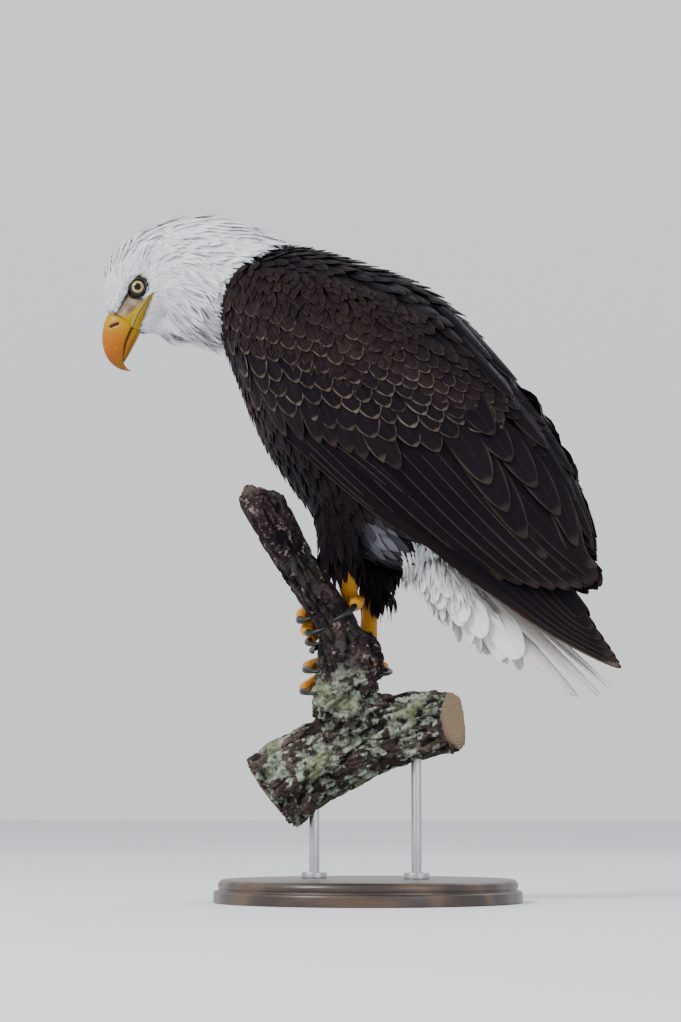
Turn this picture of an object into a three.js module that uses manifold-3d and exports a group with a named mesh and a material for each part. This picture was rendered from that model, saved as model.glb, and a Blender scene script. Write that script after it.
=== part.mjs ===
// A life-size bald eagle, perched on a short cut length of tree limb that two steel rods hold above a round
// display base. The bird stands across a leaning dead stub of the limb, with its trunk pitched up, its wings
// folded and its head bowed to look down past its left side.
//
// Millimetres, +Z up. The bird faces -X and its left side is at -Y. The origin is the centre of the base's
// underside. Every body is a sphere, cylinder or box of three.js whose points are laid along a curve, and
// neighbours are then cut from each other with a small gap.
import * as THREE from "three";
import { mergeVertices } from "three/addons/utils/BufferGeometryUtils.js";
import Module from "manifold-3d";

const wasm = await Module();
wasm.setup();

// ---------------------------------------------------------------- driving dimensions
const GAP = 0.3; // between pieces that touch
const LEFT = -1;
const RIGHT = 1;
const rad = THREE.MathUtils.degToRad;

// Trunk: distances run along its own axis (u, towards the tail) and out from it (v, towards the back).
const BODY_PITCH = rad(44.5);
const BODY_ORIGIN = new THREE.Vector3(-100, 0, 631);
const TAILWARD = new THREE.Vector3(Math.cos(BODY_PITCH), 0, -Math.sin(BODY_PITCH));
const DORSAL = new THREE.Vector3(Math.sin(BODY_PITCH), 0, Math.cos(BODY_PITCH));

// The whole outline of trunk and folded wings: u, back, breast or wing edge, half-width.
const CLOAK = [
  [-122, 74, 6, 40],
  [-92, 98, -24, 72],
  [-50, 118, -44, 100],
  [0, 142, -66, 117],
  [60, 169, -93, 125],
  [112, 178, -104, 125],
  [180, 169, -113, 118],
  [240, 161, -104, 105],
  [300, 149, -78, 90],
  [366, 123, -40, 68],
  [410, 94, -20, 52],
  [450, 60, 10, 38],
];
// The trunk under the wings is the cloak as far as the rump, then narrows to the vent.
const RUMP = [
  [240, 152, -104, 97],
  [285, 110, -84, 76],
  [325, 62, -56, 46],
];
const TRUNK_FRONT = -116;
const TRUNK_REAR = 322;

// Folded wing, from the wrist to the tips of the secondaries: u, lower edge, upper edge as heights v.
const WING_EDGES = [
  [-84, -10, 76],
  [-50, -26, 108],
  [0, -52, 135],
  [60, -72, 162],
  [120, -76, 172],
  [180, -75, 165],
  [244, -60, 158],
  [320, -30, 143],
  [380, 4, 115],
  [450, 46, 72],
];
const WING_FRONT = -84;
const WING_REAR = 450;
const WING_DEPTH = 20; // flesh and feathers under the wing's outer surface
const WING_PROUD = 3; // the middle of the wing stands this far out of its rim
const WING_EDGE = 3; // half-thickness at the wing's rim

// Primaries, the blade beyond the secondaries: u, middle height v, half-height, distance off centre.
const PRIMARIES = [
  [262, -26, 30, 72],
  [325, -4, 38, 58],
  [395, 12, 37, 43],
  [450, 15, 31, 32],
  [490, 14, 23, 26],
  [534, 13, 10, 21],
];
const PRIMARIES_THICK = 6;
const PRIMARIES_LEAN = rad(28); // their upper edges lean in over the tail

// Tail feathers and the white coverts below them: u, middle height v, half-height, half-width.
const TAIL = [
  [286, -30, 9, 32],
  [360, -30, 8, 38],
  [450, -28, 7, 46],
  [535, -26, 5.5, 54],
];
const UNDERTAIL = [
  [262, -51, 21, 38],
  [310, -55, 26, 42],
  [352, -57, 28, 40],
  [392, -53, 22, 36],
  [425, -44, 12, 30],
  [450, -38, 6, 22],
];

// Head: distances from the point between the eyes, forward (towards the bill) and up (towards the crown).
const HEAD_PITCH = rad(66);
const HEAD_YAW = rad(12);
const HEAD_ORIGIN = new THREE.Vector3(-265, -26, 705);
const FACING = new THREE.Vector3(-Math.cos(HEAD_YAW), -Math.sin(HEAD_YAW), 0);
const FORWARD = FACING.clone().multiplyScalar(Math.cos(HEAD_PITCH));
FORWARD.z = -Math.sin(HEAD_PITCH);
const CROWNWARD = FACING.clone().multiplyScalar(Math.sin(HEAD_PITCH));
CROWNWARD.z = Math.cos(HEAD_PITCH);
const HEAD_SIDE = new THREE.Vector3(Math.sin(HEAD_YAW), -Math.cos(HEAD_YAW), 0); // the head's own left
// forward, crown, jaw, half-width
const HEAD = [
  [-88, 6, -24, 26],
  [-64, 24, -38, 38],
  [-40, 37, -44, 42],
  [-18, 43, -44, 40],
  [2, 43, -43, 33.5],
  [20, 36, -41, 27],
  [36, 26, -35, 21],
  [48, 19, -28, 16],
];
const BROW = { at: 6, height: 13, out: 3.2, length: 16, spread: 7 };
const CHEEK = { at: -16, height: -20, out: 3.5, length: 20, spread: 13 };

// Neck: x, y, z of its middle line, half-depth, half-width.
const NECK = [
  [-104, 0, 690, 76, 68],
  [-150, -3, 709, 73, 64],
  [-190, -10, 723, 69, 60],
  [-226, -17, 727, 62, 54],
  [-256, -22, 722, 50, 44],
];

// Bill, in the head's distances: forward, culmen or upper line, lower line, half-width.
const UPPER_BILL = [
  [20, 14, -12, 15],
  [36, 21, -10.5, 16],
  [50, 21.5, -10.5, 14.6],
  [64, 18.5, -11, 12.6],
  [76, 12, -13.5, 10.4],
  [86, 3.5, -16, 7.8],
];
// The hook, from the bill's end down to its tip: forward, up, half-length, half-width.
const HOOK = [
  [77, -2, 12, 9],
  [83, -8, 9.5, 6.6],
  [87, -15, 6.8, 4.6],
  [89, -22.5, 4, 3],
  [89.5, -30, 1.6, 1.3],
];
const LOWER_BILL = [
  [14, -8, -20, 12],
  [34, -11, -20.5, 12],
  [56, -11.4, -20.4, 9.4],
  [72, -13.6, -19.6, 6.4],
  [81, -15, -18.2, 3.6],
];

const EYE_RADIUS = 11.5;
const EYE_SIDE = 26.2; // of the eyeball's centre from the head's middle plane
const EYE_AHEAD = 0.8;

// Perch: the stub's middle line and radius, from the broken top down to the limb.
const STUB = [
  [-114, -88, 468, 24],
  [-81, -48, 396, 24],
  [-58, -24, 354, 23.5],
  [-38, -5, 318, 24],
  [-29, 10, 274, 33],
  [-30, 22, 210, 42],
];
const LIMB = [
  [-118, 46, 122, 50],
  [-66, 44, 162, 48],
  [-8, 38, 187, 46],
  [46, 26, 198, 41],
  [98, 12, 203, 37],
];
const STUB_PER_SHARE = 240; // length of the stub near the feet, for a whole share
const BURL_CENTRE = new THREE.Vector3(-3, -2, 276);
const BURL_SIZE = new THREE.Vector3(25, 24, 36);
const BARK_RIPPLE = 0.05;
const BREAK_SIZE = 90;
const BREAKS = [
  { depth: 2, tiltX: rad(8), tiltY: rad(20) },
  { depth: 4, tiltX: rad(52), tiltY: rad(-48) },
];

// Legs. A foot's place is a share of the stub's length, and its toes curl round the stub from there.
const STUB_AT = { [LEFT]: 0.59, [RIGHT]: 0.81 };
const SOLE_TURN = { [LEFT]: rad(8), [RIGHT]: rad(-12) }; // of the sole from the stub's upper side
const SOLE_HEIGHT = 13;
const TOE_CLEARANCE = 0.6;
// length round the stub, drift along the stub, radius at the root and at the claw, length of the claw
const TOES = {
  inner: { length: 66, drift: 17, thick: 9, thin: 6.4, claw: 36 },
  middle: { length: 90, drift: -3, thick: 9.2, thin: 6.8, claw: 34 },
  outer: { length: 76, drift: -24, thick: 8.4, thin: 6.4, claw: 30 },
  hind: { length: -42, drift: -8, thick: 9.6, thin: 7.2, claw: 42 },
};
const CLAW_ARCH = 5;
const CLAW_ROOT = 5.4;
const CLAW_TIP = 0.9;
// Tarsus and feathered thigh: x, y, z, half-depth, half-width, from the body down.
const TARSUS_TOP = {
  [LEFT]: new THREE.Vector3(-30, -34, 404),
  [RIGHT]: new THREE.Vector3(-4, 46, 372),
};
const TARSUS_RADIUS = 8.5;
const ANKLE_SWELL = 1.35;
const TOE_PADS = 0.08; // depth of the swellings along a toe's underside
const THIGH = {
  [LEFT]: [
    [-6, -62, 516, 58, 46],
    [-14, -56, 462, 46, 40],
    [-26, -44, 418, 29, 28],
    [-36, -36, 388, 17, 17],
  ],
  [RIGHT]: [
    [14, 62, 496, 58, 46],
    [12, 58, 440, 46, 40],
    [5, 51, 390, 29, 28],
    [-3, 46, 350, 16, 16],
  ],
};

// Display stand.
const BASE_RADIUS = 175;
const BASE_HEIGHT = 26;
const BASE_BEVEL = 7;
const ROD_RADIUS = 6;
const ROD_IN_BASE = 14;
const ROD_IN_LIMB = 26;
const RODS = [
  { x: -70, y: 44, limbBottom: 112 },
  { x: 52, y: 25, limbBottom: 158 },
];
const COLLAR = { radius: 15, height: 7 };

// ---------------------------------------------------------------- helpers
const clamp = THREE.MathUtils.clamp;
const lerp = THREE.MathUtils.lerp;

// Reads a table of rows [key, ...values] at any key, along a smooth curve through the rows.
function read(table, key) {
  const last = table.length - 1;
  const k = clamp(key, table[0][0], table[last][0]);
  let i = 0;
  while (i < last - 1 && k > table[i + 1][0]) i++;
  const [a, b] = [table[i], table[i + 1]];
  const span = b[0] - a[0];
  const t = (k - a[0]) / span;
  const before = table[Math.max(i - 1, 0)];
  const after = table[Math.min(i + 2, last)];
  return a.slice(1).map((value, n) => {
    const slopeA = ((b[n + 1] - before[n + 1]) / (b[0] - before[0])) * span;
    const slopeB = ((after[n + 1] - value) / (after[0] - a[0])) * span;
    const rise = b[n + 1] - value;
    return value + t * (slopeA + t * (3 * rise - 2 * slopeA - slopeB + t * (slopeA + slopeB - 2 * rise)));
  });
}

// Gives rows [x, y, z, ...] a first column that runs evenly from 0 to 1.
const evenly = (rows) => rows.map((row, i) => [i / (rows.length - 1), ...row]);

// 1 along the middle of a length, falling to 0 round a quarter circle at each end.
function roundEnds(s, start, end) {
  const near = start > 0 && s < start ? Math.sqrt(Math.max(0, 1 - (1 - s / start) ** 2)) : 1;
  const far = end > 0 && 1 - s < end ? Math.sqrt(Math.max(0, 1 - (1 - (1 - s) / end) ** 2)) : 1;
  return near * far;
}

const bulge = (value, power) => Math.sign(value) * Math.abs(value) ** power;

// A closed manifold solid from a three.js geometry, with its faces turned outwards.
function solid(geometry) {
  geometry.deleteAttribute("normal");
  geometry.deleteAttribute("uv");
  const merged = mergeVertices(geometry, 1e-3);
  const corners = merged.index.array;
  const kept = [];
  for (let i = 0; i < corners.length; i += 3) {
    const [a, b, c] = corners.subarray(i, i + 3);
    if (a !== b && b !== c && a !== c) kept.push(a, b, c);
  }
  const vertProperties = merged.attributes.position.array;
  const make = (list) =>
    new wasm.Manifold(new wasm.Mesh({ numProp: 3, vertProperties, triVerts: Uint32Array.from(list) }));
  const made = make(kept);
  return made.volume() < 0 ? make(kept.toReversed()) : made;
}

// A tube laid along place(s), s from 0 to 1. size(s) gives its half-height and half-width, up the direction
// of its height, round its round ends, and swell(s, turn) what stands out of the oval. Flat ends come with
// flat: true. Its sections stand square to the line, or to one fixed axis.
function tube(
  { place, size, up, axis, round = [0.15, 0.15], around = 16, rings = 12, full = 2, flat, swell },
  grow = 0,
) {
  const shape = flat
    ? new THREE.CylinderGeometry(1, 1, 2, around, rings)
    : new THREE.SphereGeometry(1, around, rings);
  const points = shape.getAttribute("position");
  const v = new THREE.Vector3();
  const step = 1e-3;
  for (let i = 0; i < points.count; i++) {
    v.fromBufferAttribute(points, i);
    const s = flat ? (1 - v.y) / 2 : (1 - clamp(v.y, -1, 1)) / 2;
    const radius = Math.hypot(v.x, v.z);
    const turn = Math.atan2(v.z, v.x);
    const along = axis ?? place(Math.min(1, s + step)).sub(place(Math.max(0, s - step))).normalize();
    const height = up.clone().addScaledVector(along, -up.dot(along)).normalize();
    const width = along.clone().cross(height);
    const [tall, wide] = size(s);
    const ends = flat ? radius : roundEnds(s, ...round);
    const extra = (swell ? swell(s, turn) : 0) * ends + (radius > 1e-6 ? grow : 0);
    const centre = place(s);
    centre.addScaledVector(height, (tall * ends + extra) * bulge(Math.cos(turn), 2 / full) * (radius > 1e-6));
    centre.addScaledVector(width, (wide * ends + extra) * bulge(Math.sin(turn), 2 / full) * (radius > 1e-6));
    const outwards = s < 0.5 ? -grow : grow;
    centre.addScaledVector(along, flat ? (s === 0 || s === 1 ? outwards : 0) : outwards * (1 - ends));
    points.setXYZ(i, centre.x, centre.y, centre.z);
  }
  return solid(shape);
}

const inBody = (u, v, y) =>
  BODY_ORIGIN.clone().addScaledVector(TAILWARD, u).addScaledVector(DORSAL, v).setY(y);
const inHead = (ahead, above, aside) =>
  HEAD_ORIGIN.clone()
    .addScaledVector(FORWARD, ahead)
    .addScaledVector(CROWNWARD, above)
    .addScaledVector(HEAD_SIDE, aside);

// A tube in the trunk's distances, from a table of u, upper line, lower line, half-width.
function bodyTube(table, from, to, options, grow) {
  const at = (s) => read(table, lerp(from, to, s));
  return tube(
    {
      up: DORSAL,
      axis: TAILWARD,
      place: (s) => inBody(lerp(from, to, s), (at(s)[0] + at(s)[1]) / 2, 0),
      size: (s) => [(at(s)[0] - at(s)[1]) / 2, at(s)[2]],
      ...options,
    },
    grow,
  );
}

// The same in the head's distances.
function headTube(table, options, grow) {
  const from = table[0][0];
  const to = table[table.length - 1][0];
  const at = (s) => read(table, lerp(from, to, s));
  return tube(
    {
      up: CROWNWARD,
      axis: FORWARD,
      place: (s) => inHead(lerp(from, to, s), (at(s)[0] + at(s)[1]) / 2, 0),
      size: (s) => [(at(s)[0] - at(s)[1]) / 2, at(s)[2]],
      ...options,
    },
    grow,
  );
}

// A tube through rows of x, y, z, half-height, half-width.
function lineTube(rows, options, grow) {
  const table = evenly(rows);
  return tube(
    {
      up: CROWNWARD,
      place: (s) => new THREE.Vector3(...read(table, s).slice(0, 3)),
      size: (s) => read(table, s).slice(3),
      ...options,
    },
    grow,
  );
}

// ---------------------------------------------------------------- trunk, wings and tail
function trunk(grow = 0) {
  const table = [...CLOAK.filter(([u]) => u < RUMP[0][0]), ...RUMP];
  const options = { around: 20, rings: 15, round: [0.16, 0.12], full: 2.15 };
  return bodyTube(table, TRUNK_FRONT, TRUNK_REAR, options, grow);
}

// A folded wing is a curved plate over the trunk's side, rounded at the wrist and at the secondaries' tips.
function wing(side, grow = 0) {
  const shape = new THREE.BoxGeometry(1, 1, 1, 14, 6, 1);
  const points = shape.getAttribute("position");
  for (let i = 0; i < points.count; i++) {
    const s = (1 - Math.cos(Math.PI * (points.getX(i) + 0.5))) / 2; // rows close up towards the ends
    const across = points.getY(i) + 0.5;
    const outer = points.getZ(i) > 0;
    const u = lerp(WING_FRONT, WING_REAR, s);
    const [back, breast, half] = read(CLOAK, u);
    const [low, high] = read(WING_EDGES, u);
    const middle = (back + breast) / 2;
    const tall = (back - breast) / 2;
    const turnOf = (v) => Math.asin(clamp((v - middle) / tall, -0.985, 0.985));
    const [from, to] = [turnOf(low), turnOf(high)];
    const leaf = lerp(0.3, 1, roundEnds(s, 0.12, 0.1));
    const spare = grow / tall;
    const turn = (from + to) / 2 + (across - 0.5) * ((to - from) * leaf + 2 * spare);
    const rim = Math.sqrt(Math.max(0, 1 - (2 * across - 1) ** 2)) * roundEnds(s, 0.16, 0.2);
    const offset = outer ? WING_EDGE + WING_PROUD * rim + grow : -WING_EDGE - WING_DEPTH * rim - grow;
    const out = new THREE.Vector2(Math.cos(turn) / half, Math.sin(turn) / tall).normalize();
    const v = middle + tall * Math.sin(turn) + offset * out.y;
    const aside = Math.max(0.6 - grow, half * Math.cos(turn) + offset * out.x);
    const beyond = s === 0 ? -grow : s === 1 ? grow : 0;
    const place = inBody(u + beyond, v, side * aside);
    points.setXYZ(i, place.x, place.y, place.z);
  }
  return solid(shape);
}

function primaries(side, grow = 0) {
  const from = PRIMARIES[0][0];
  const to = PRIMARIES[PRIMARIES.length - 1][0];
  const at = (s) => read(PRIMARIES, lerp(from, to, s));
  const up = DORSAL.clone().multiplyScalar(Math.cos(PRIMARIES_LEAN)).setY(-side * Math.sin(PRIMARIES_LEAN));
  return tube(
    {
      up,
      place: (s) => inBody(lerp(from, to, s), at(s)[0], side * at(s)[2]),
      size: (s) => [at(s)[1], lerp(PRIMARIES_THICK, PRIMARIES_THICK / 2, s)],
      round: [0.1, 0.12],
      around: 10,
      rings: 8,
    },
    grow,
  );
}

// A flat or oval body on the middle plane below the trunk.
function underBody(table, options, grow) {
  const lines = table.map(([u, middle, tall, half]) => [u, middle + tall, middle - tall, half]);
  return bodyTube(lines, table[0][0], table[table.length - 1][0], options, grow);
}

const tail = (grow) => underBody(TAIL, { around: 12, rings: 8, round: [0.05, 0.06], full: 2.6 }, grow);
const undertail = (grow) => underBody(UNDERTAIL, { around: 12, rings: 8, round: [0.2, 0.2] }, grow);

// ---------------------------------------------------------------- head and neck
// A low mound on the head's side, centred at { at, height } in the head's distances.
function mound({ at, height, out, length, spread }, ahead, above) {
  return out * Math.exp(-(((ahead - at) / length) ** 2) - ((above - height) / spread) ** 2);
}

function head(grow) {
  const from = HEAD[0][0];
  const to = HEAD[HEAD.length - 1][0];
  const swell = (s, turn) => {
    const ahead = lerp(from, to, s);
    const [crown, jaw] = read(HEAD, ahead);
    const above = (crown + jaw) / 2 + ((crown - jaw) / 2) * Math.cos(turn);
    return mound(BROW, ahead, above) + mound(CHEEK, ahead, above);
  };
  return headTube(HEAD, { around: 18, rings: 11, round: [0.2, 0.05], full: 2.1, swell }, grow);
}

const neck = (grow) => lineTube(NECK, { around: 16, rings: 8, round: [0.05, 0.2], full: 2.1 }, grow);

// The upper bill ends in a hook, which is a second tube bent down from the culmen's end.
function upperBill(grow = 0) {
  const bridge = headTube(UPPER_BILL, { around: 11, rings: 8, round: [0.02, 0.12], full: 2.2 }, grow);
  const table = evenly(HOOK);
  const hook = tube(
    {
      up: FORWARD,
      place: (s) => inHead(...read(table, s).slice(0, 2), 0),
      size: (s) => read(table, s).slice(2),
      around: 8,
      rings: 7,
      round: [0.2, 0.1],
    },
    grow,
  );
  return bridge.add(hook);
}

const lowerBill = (grow) => headTube(LOWER_BILL, { around: 10, rings: 7, round: [0.05, 0.22] }, grow);

function eye(side, grow = 0) {
  const ball = new THREE.SphereGeometry(EYE_RADIUS + grow, 12, 7);
  const place = inHead(EYE_AHEAD, 0, -side * EYE_SIDE);
  ball.rotateX(Math.PI / 2).translate(place.x, place.y, place.z);
  return solid(ball);
}

// ---------------------------------------------------------------- perch
const stubTable = evenly(STUB);
const stubPlace = (s) => new THREE.Vector3(...read(stubTable, s).slice(0, 3));
const stubRadius = (s) => read(stubTable, s)[3];

// Low ridges that wind slowly round a branch.
const ripple = (radius) => (s, turn) =>
  radius * BARK_RIPPLE * (Math.sin(3 * turn + 9 * s) + Math.sin(5 * turn - 14 * s));

function branch(place, radius, options, grow) {
  return tube(
    {
      up: new THREE.Vector3(0, 0.2, 1),
      place,
      size: (s) => [radius(s), radius(s)],
      swell: ripple(radius(0.5)),
      around: 12,
      flat: true,
      ...options,
    },
    grow,
  );
}

function limb(grow) {
  const table = evenly(LIMB);
  const middle = (s) => new THREE.Vector3(...read(table, s).slice(0, 3));
  return branch(middle, (s) => read(table, s)[3], { rings: 8 }, grow);
}

// The stub and the burl at its foot.
function stub(grow = 0) {
  const burl = new THREE.SphereGeometry(1, 10, 7)
    .scale(BURL_SIZE.x + grow, BURL_SIZE.y + grow, BURL_SIZE.z + grow)
    .translate(...BURL_CENTRE);
  return branch(stubPlace, stubRadius, { rings: 12 }, grow).add(solid(burl));
}

// Two slanting breaks leave the stub's top snapped and not sawn.
function breaks() {
  return BREAKS.map(({ depth, tiltX, tiltY }) => {
    const block = new THREE.BoxGeometry(BREAK_SIZE, BREAK_SIZE, BREAK_SIZE);
    block.translate(0, 0, BREAK_SIZE / 2 - depth).rotateX(tiltX).rotateY(tiltY);
    return solid(block.translate(...stubPlace(0)));
  });
}

// ---------------------------------------------------------------- legs
// How far the bark is from the stub's middle line, going outwards: to the stub's own surface or the burl's.
function barkFrom(centre, out, radius) {
  const [from, step] = [centre, out].map((v) => v.clone().divide(BURL_SIZE));
  from.sub(BURL_CENTRE.clone().divide(BURL_SIZE));
  const [a, b, c] = [step.lengthSq(), from.dot(step), from.lengthSq() - 1];
  const inside = b * b - a * c;
  return Math.max(radius * (1 + BARK_RIPPLE), inside > 0 ? (Math.sqrt(inside) - b) / a : 0);
}

// A point off the stub's bark, at a share of the stub's length and a turn in radians from its upper side.
function byStub(share, turn, clearance) {
  const centre = stubPlace(share);
  const upward = stubPlace(share - 0.02).sub(stubPlace(share + 0.02)).normalize();
  const top = new THREE.Vector3(0, 0, 1).addScaledVector(upward, -upward.z).normalize();
  const front = upward.clone().cross(top);
  const out = top.multiplyScalar(Math.cos(turn)).addScaledVector(front, Math.sin(turn));
  return centre.addScaledVector(out, barkFrom(centre, out, stubRadius(share)) + clearance);
}

// The line of a toe and its claw: s runs from 0 at the sole to 1 at the claw's root and on along the claw.
function toeLine(side, { length, drift, thick }, s, clearance) {
  const spin = length / (stubRadius(STUB_AT[side]) + thick);
  const along = side * drift * Math.sin((Math.min(s, 1) * Math.PI) / 2);
  return byStub(STUB_AT[side] - along / STUB_PER_SHARE, SOLE_TURN[side] + spin * s, clearance);
}

const SQUARE_TO_STUB = stubPlace(0.5).sub(stubPlace(0.7)).normalize();

function toe(side, kind, grow) {
  const half = (s) => lerp(kind.thick, kind.thin, s) * (1 + TOE_PADS * Math.cos(s * Math.PI * 5));
  return tube(
    {
      up: SQUARE_TO_STUB,
      place: (s) => toeLine(side, kind, s, half(s) + TOE_CLEARANCE),
      size: (s) => [half(s), half(s)],
      around: 7,
      rings: 8,
      round: [0.12, 0.1],
    },
    grow,
  );
}

// A claw leaves the toe's end, arches off the bark and comes back down to touch it.
function claw(side, kind, grow) {
  const stretch = kind.claw / Math.abs(kind.length);
  const half = (s) => lerp(CLAW_ROOT, CLAW_TIP, s ** 0.85);
  const height = (s) => lerp(kind.thin, CLAW_TIP, s) + CLAW_ARCH * Math.sin(Math.PI * s ** 0.8);
  return tube(
    {
      up: SQUARE_TO_STUB,
      place: (s) => toeLine(side, kind, 0.96 + s * stretch, height(s) + TOE_CLEARANCE),
      size: (s) => [half(s) * 0.8, half(s)],
      around: 6,
      rings: 6,
      round: [0.12, 0.05],
    },
    grow,
  );
}

// Tarsus, the ball of the foot and the four toes are one piece.
function foot(side, grow = 0) {
  const sole = byStub(STUB_AT[side], SOLE_TURN[side], SOLE_HEIGHT);
  const half = (s) => TARSUS_RADIUS * lerp(1, ANKLE_SWELL, s ** 2);
  const shank = tube(
    {
      up: new THREE.Vector3(1, 0, 0),
      place: (s) => TARSUS_TOP[side].clone().lerp(sole, s),
      size: (s) => [half(s), half(s)],
      around: 10,
      rings: 6,
      round: [0.1, 0.2],
    },
    grow,
  );
  return Object.values(TOES).reduce((joined, kind) => joined.add(toe(side, kind, grow)), shank);
}

const thigh = (side, grow) =>
  lineTube(THIGH[side], { up: new THREE.Vector3(1, 0, 0), around: 12, rings: 8, round: [0.25, 0.22] }, grow);

// ---------------------------------------------------------------- display stand
function base() {
  const profile = [
    [0, 0],
    [BASE_RADIUS, 0],
    [BASE_RADIUS, BASE_HEIGHT - BASE_BEVEL],
    [BASE_RADIUS - BASE_BEVEL, BASE_HEIGHT],
    [0, BASE_HEIGHT],
  ].map(([x, y]) => new THREE.Vector2(x, y));
  return solid(new THREE.LatheGeometry(profile, 40).rotateX(Math.PI / 2));
}

function upright(radius, { x, y }, from, to) {
  const rod = new THREE.CylinderGeometry(radius, radius, to - from, 14).rotateX(Math.PI / 2);
  return solid(rod.translate(x, y, (from + to) / 2));
}

const rod = (spot, grow = 0) =>
  upright(ROD_RADIUS + grow, spot, BASE_HEIGHT - ROD_IN_BASE - grow, spot.limbBottom + ROD_IN_LIMB + grow);
const collar = (spot) => upright(COLLAR.radius, spot, BASE_HEIGHT + GAP, BASE_HEIGHT + COLLAR.height);

// ---------------------------------------------------------------- parting the bird and its stand
const paint = (color, roughness, metalness = 0) =>
  new THREE.MeshStandardMaterial({ color, roughness, metalness });
const MATERIALS = {
  white: paint(0xe9e8e4, 0.85),
  brown: paint(0x2b211c, 0.8),
  yellow: paint(0xe0a118, 0.45),
  foot: paint(0xd99a1c, 0.55),
  horn: paint(0x17130f, 0.3),
  eye: paint(0xd8c878, 0.1),
  bark: paint(0x5d5348, 0.95),
  stand: paint(0x2a1a10, 0.4),
  steel: paint(0x8d9094, 0.3, 1),
};

const eagle = new THREE.Group();
const [bird, perch, stand] = Array.from({ length: 3 }, () => new THREE.Group());
eagle.add(bird, perch, stand);

// Adds a node: a solid less what its neighbours take from it, without the crumbs the cuts leave.
function add(group, name, material, shape, ...neighbours) {
  const pieces = neighbours.reduce((rest, neighbour) => rest.subtract(neighbour), shape).decompose();
  const cut = pieces.reduce((best, piece) => (piece.volume() > best.volume() ? piece : best));
  const { numProp, vertProperties, triVerts } = cut.getMesh();
  const places = new Float32Array((vertProperties.length / numProp) * 3);
  for (let i = 0; i < places.length / 3; i++) {
    places.set(vertProperties.subarray(i * numProp, i * numProp + 3), i * 3);
  }
  const geometry = new THREE.BufferGeometry();
  geometry.setAttribute("position", new THREE.BufferAttribute(places, 3));
  geometry.setIndex(new THREE.BufferAttribute(triVerts, 1));
  geometry.computeVertexNormals();
  const mesh = new THREE.Mesh(geometry, MATERIALS[material]);
  mesh.name = name;
  group.add(mesh);
}

const sides = { left: LEFT, right: RIGHT };
const both = (make) => Object.values(sides).map((side) => make(side, GAP));

const trunkRoom = trunk(GAP);
const wingRoom = both(wing);
const primariesRoom = both(primaries);
const billRoom = [upperBill(GAP), lowerBill(GAP)];
const footRoom = both(foot);
const stubRoom = stub(GAP);
const perchRoom = [stubRoom, limb(GAP)];
const rodRoom = RODS.map((spot) => rod(spot, GAP));

add(bird, "trunk", "brown", trunk(), ...wingRoom);
add(bird, "neck", "white", neck(), trunkRoom, head(GAP), ...wingRoom);
add(bird, "head", "white", head(), ...billRoom, ...both(eye));
add(bird, "upper_bill", "yellow", upperBill());
add(bird, "lower_bill", "yellow", lowerBill(), billRoom[0]);
add(bird, "undertail", "white", undertail(), trunkRoom, tail(GAP), ...wingRoom, ...primariesRoom);
add(bird, "tail", "white", tail(), trunkRoom, ...wingRoom, ...primariesRoom);

for (const [word, side] of Object.entries(sides)) {
  add(bird, `eye_${word}`, "eye", eye(side));
  add(bird, `wing_${word}`, "brown", wing(side));
  add(bird, `primaries_${word}`, "brown", primaries(side), trunkRoom, ...wingRoom);
  add(bird, `thigh_${word}`, "brown", thigh(side), trunkRoom, ...wingRoom, ...footRoom, ...perchRoom);
  add(bird, `foot_${word}`, "foot", foot(side), trunkRoom, ...perchRoom);
  for (const [finger, kind] of Object.entries(TOES)) {
    add(bird, `claw_${word}_${finger}`, "horn", claw(side, kind), ...footRoom, ...perchRoom);
  }
}

add(perch, "perch_stub", "bark", stub(), ...breaks());
add(perch, "perch_limb", "bark", limb(), stubRoom, ...rodRoom);

add(stand, "stand_base", "stand", base(), ...rodRoom);
RODS.forEach((spot, i) => {
  add(stand, `stand_rod_${i + 1}`, "steel", rod(spot));
  add(stand, `stand_collar_${i + 1}`, "steel", collar(spot), rodRoom[i]);
});

export default eagle;
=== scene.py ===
"""Looks of a life-size bald eagle that stands on a cut length of branch, over a round display base.

Metres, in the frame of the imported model: the bird faces -X and its left side is at -Y. It is built from the
inside out: a bare skin inside the outline of the flesh, then closed vanes that start in the skin, lie along
the body and end at the outline.
"""

import math

import bpy
import numpy as np
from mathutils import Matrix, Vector, noise
from mathutils.bvhtree import BVHTree


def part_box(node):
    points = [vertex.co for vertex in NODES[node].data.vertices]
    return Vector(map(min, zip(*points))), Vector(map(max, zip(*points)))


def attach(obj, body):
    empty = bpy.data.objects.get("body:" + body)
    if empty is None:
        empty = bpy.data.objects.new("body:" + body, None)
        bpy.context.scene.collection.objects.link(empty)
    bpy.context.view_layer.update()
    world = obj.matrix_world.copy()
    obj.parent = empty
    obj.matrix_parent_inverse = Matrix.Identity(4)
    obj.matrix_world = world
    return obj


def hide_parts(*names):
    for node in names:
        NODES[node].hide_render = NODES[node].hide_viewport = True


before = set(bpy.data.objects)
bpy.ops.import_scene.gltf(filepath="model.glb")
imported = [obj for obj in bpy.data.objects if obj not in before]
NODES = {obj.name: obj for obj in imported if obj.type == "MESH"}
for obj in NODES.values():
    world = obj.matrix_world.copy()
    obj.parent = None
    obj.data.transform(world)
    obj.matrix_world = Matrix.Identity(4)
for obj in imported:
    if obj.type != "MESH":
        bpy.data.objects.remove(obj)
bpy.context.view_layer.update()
MM = 0.001
LEFT, RIGHT = -1, 1
SIDES = {LEFT: "left", RIGHT: "right"}
rng = np.random.default_rng(20)


# ---------------------------------------------------------------- places and directions
def unit(v):
    v = np.asarray(v, float)
    return v / np.maximum(np.linalg.norm(v, axis=-1, keepdims=True), 1e-12)


def fade(low, high, x):
    t = np.clip((np.asarray(x, float) - low) / (high - low), 0, 1)
    return t * t * (3 - 2 * t)


def mix(a, b, t):
    return np.asarray(a) * (1 - t) + np.asarray(b) * t


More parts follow.
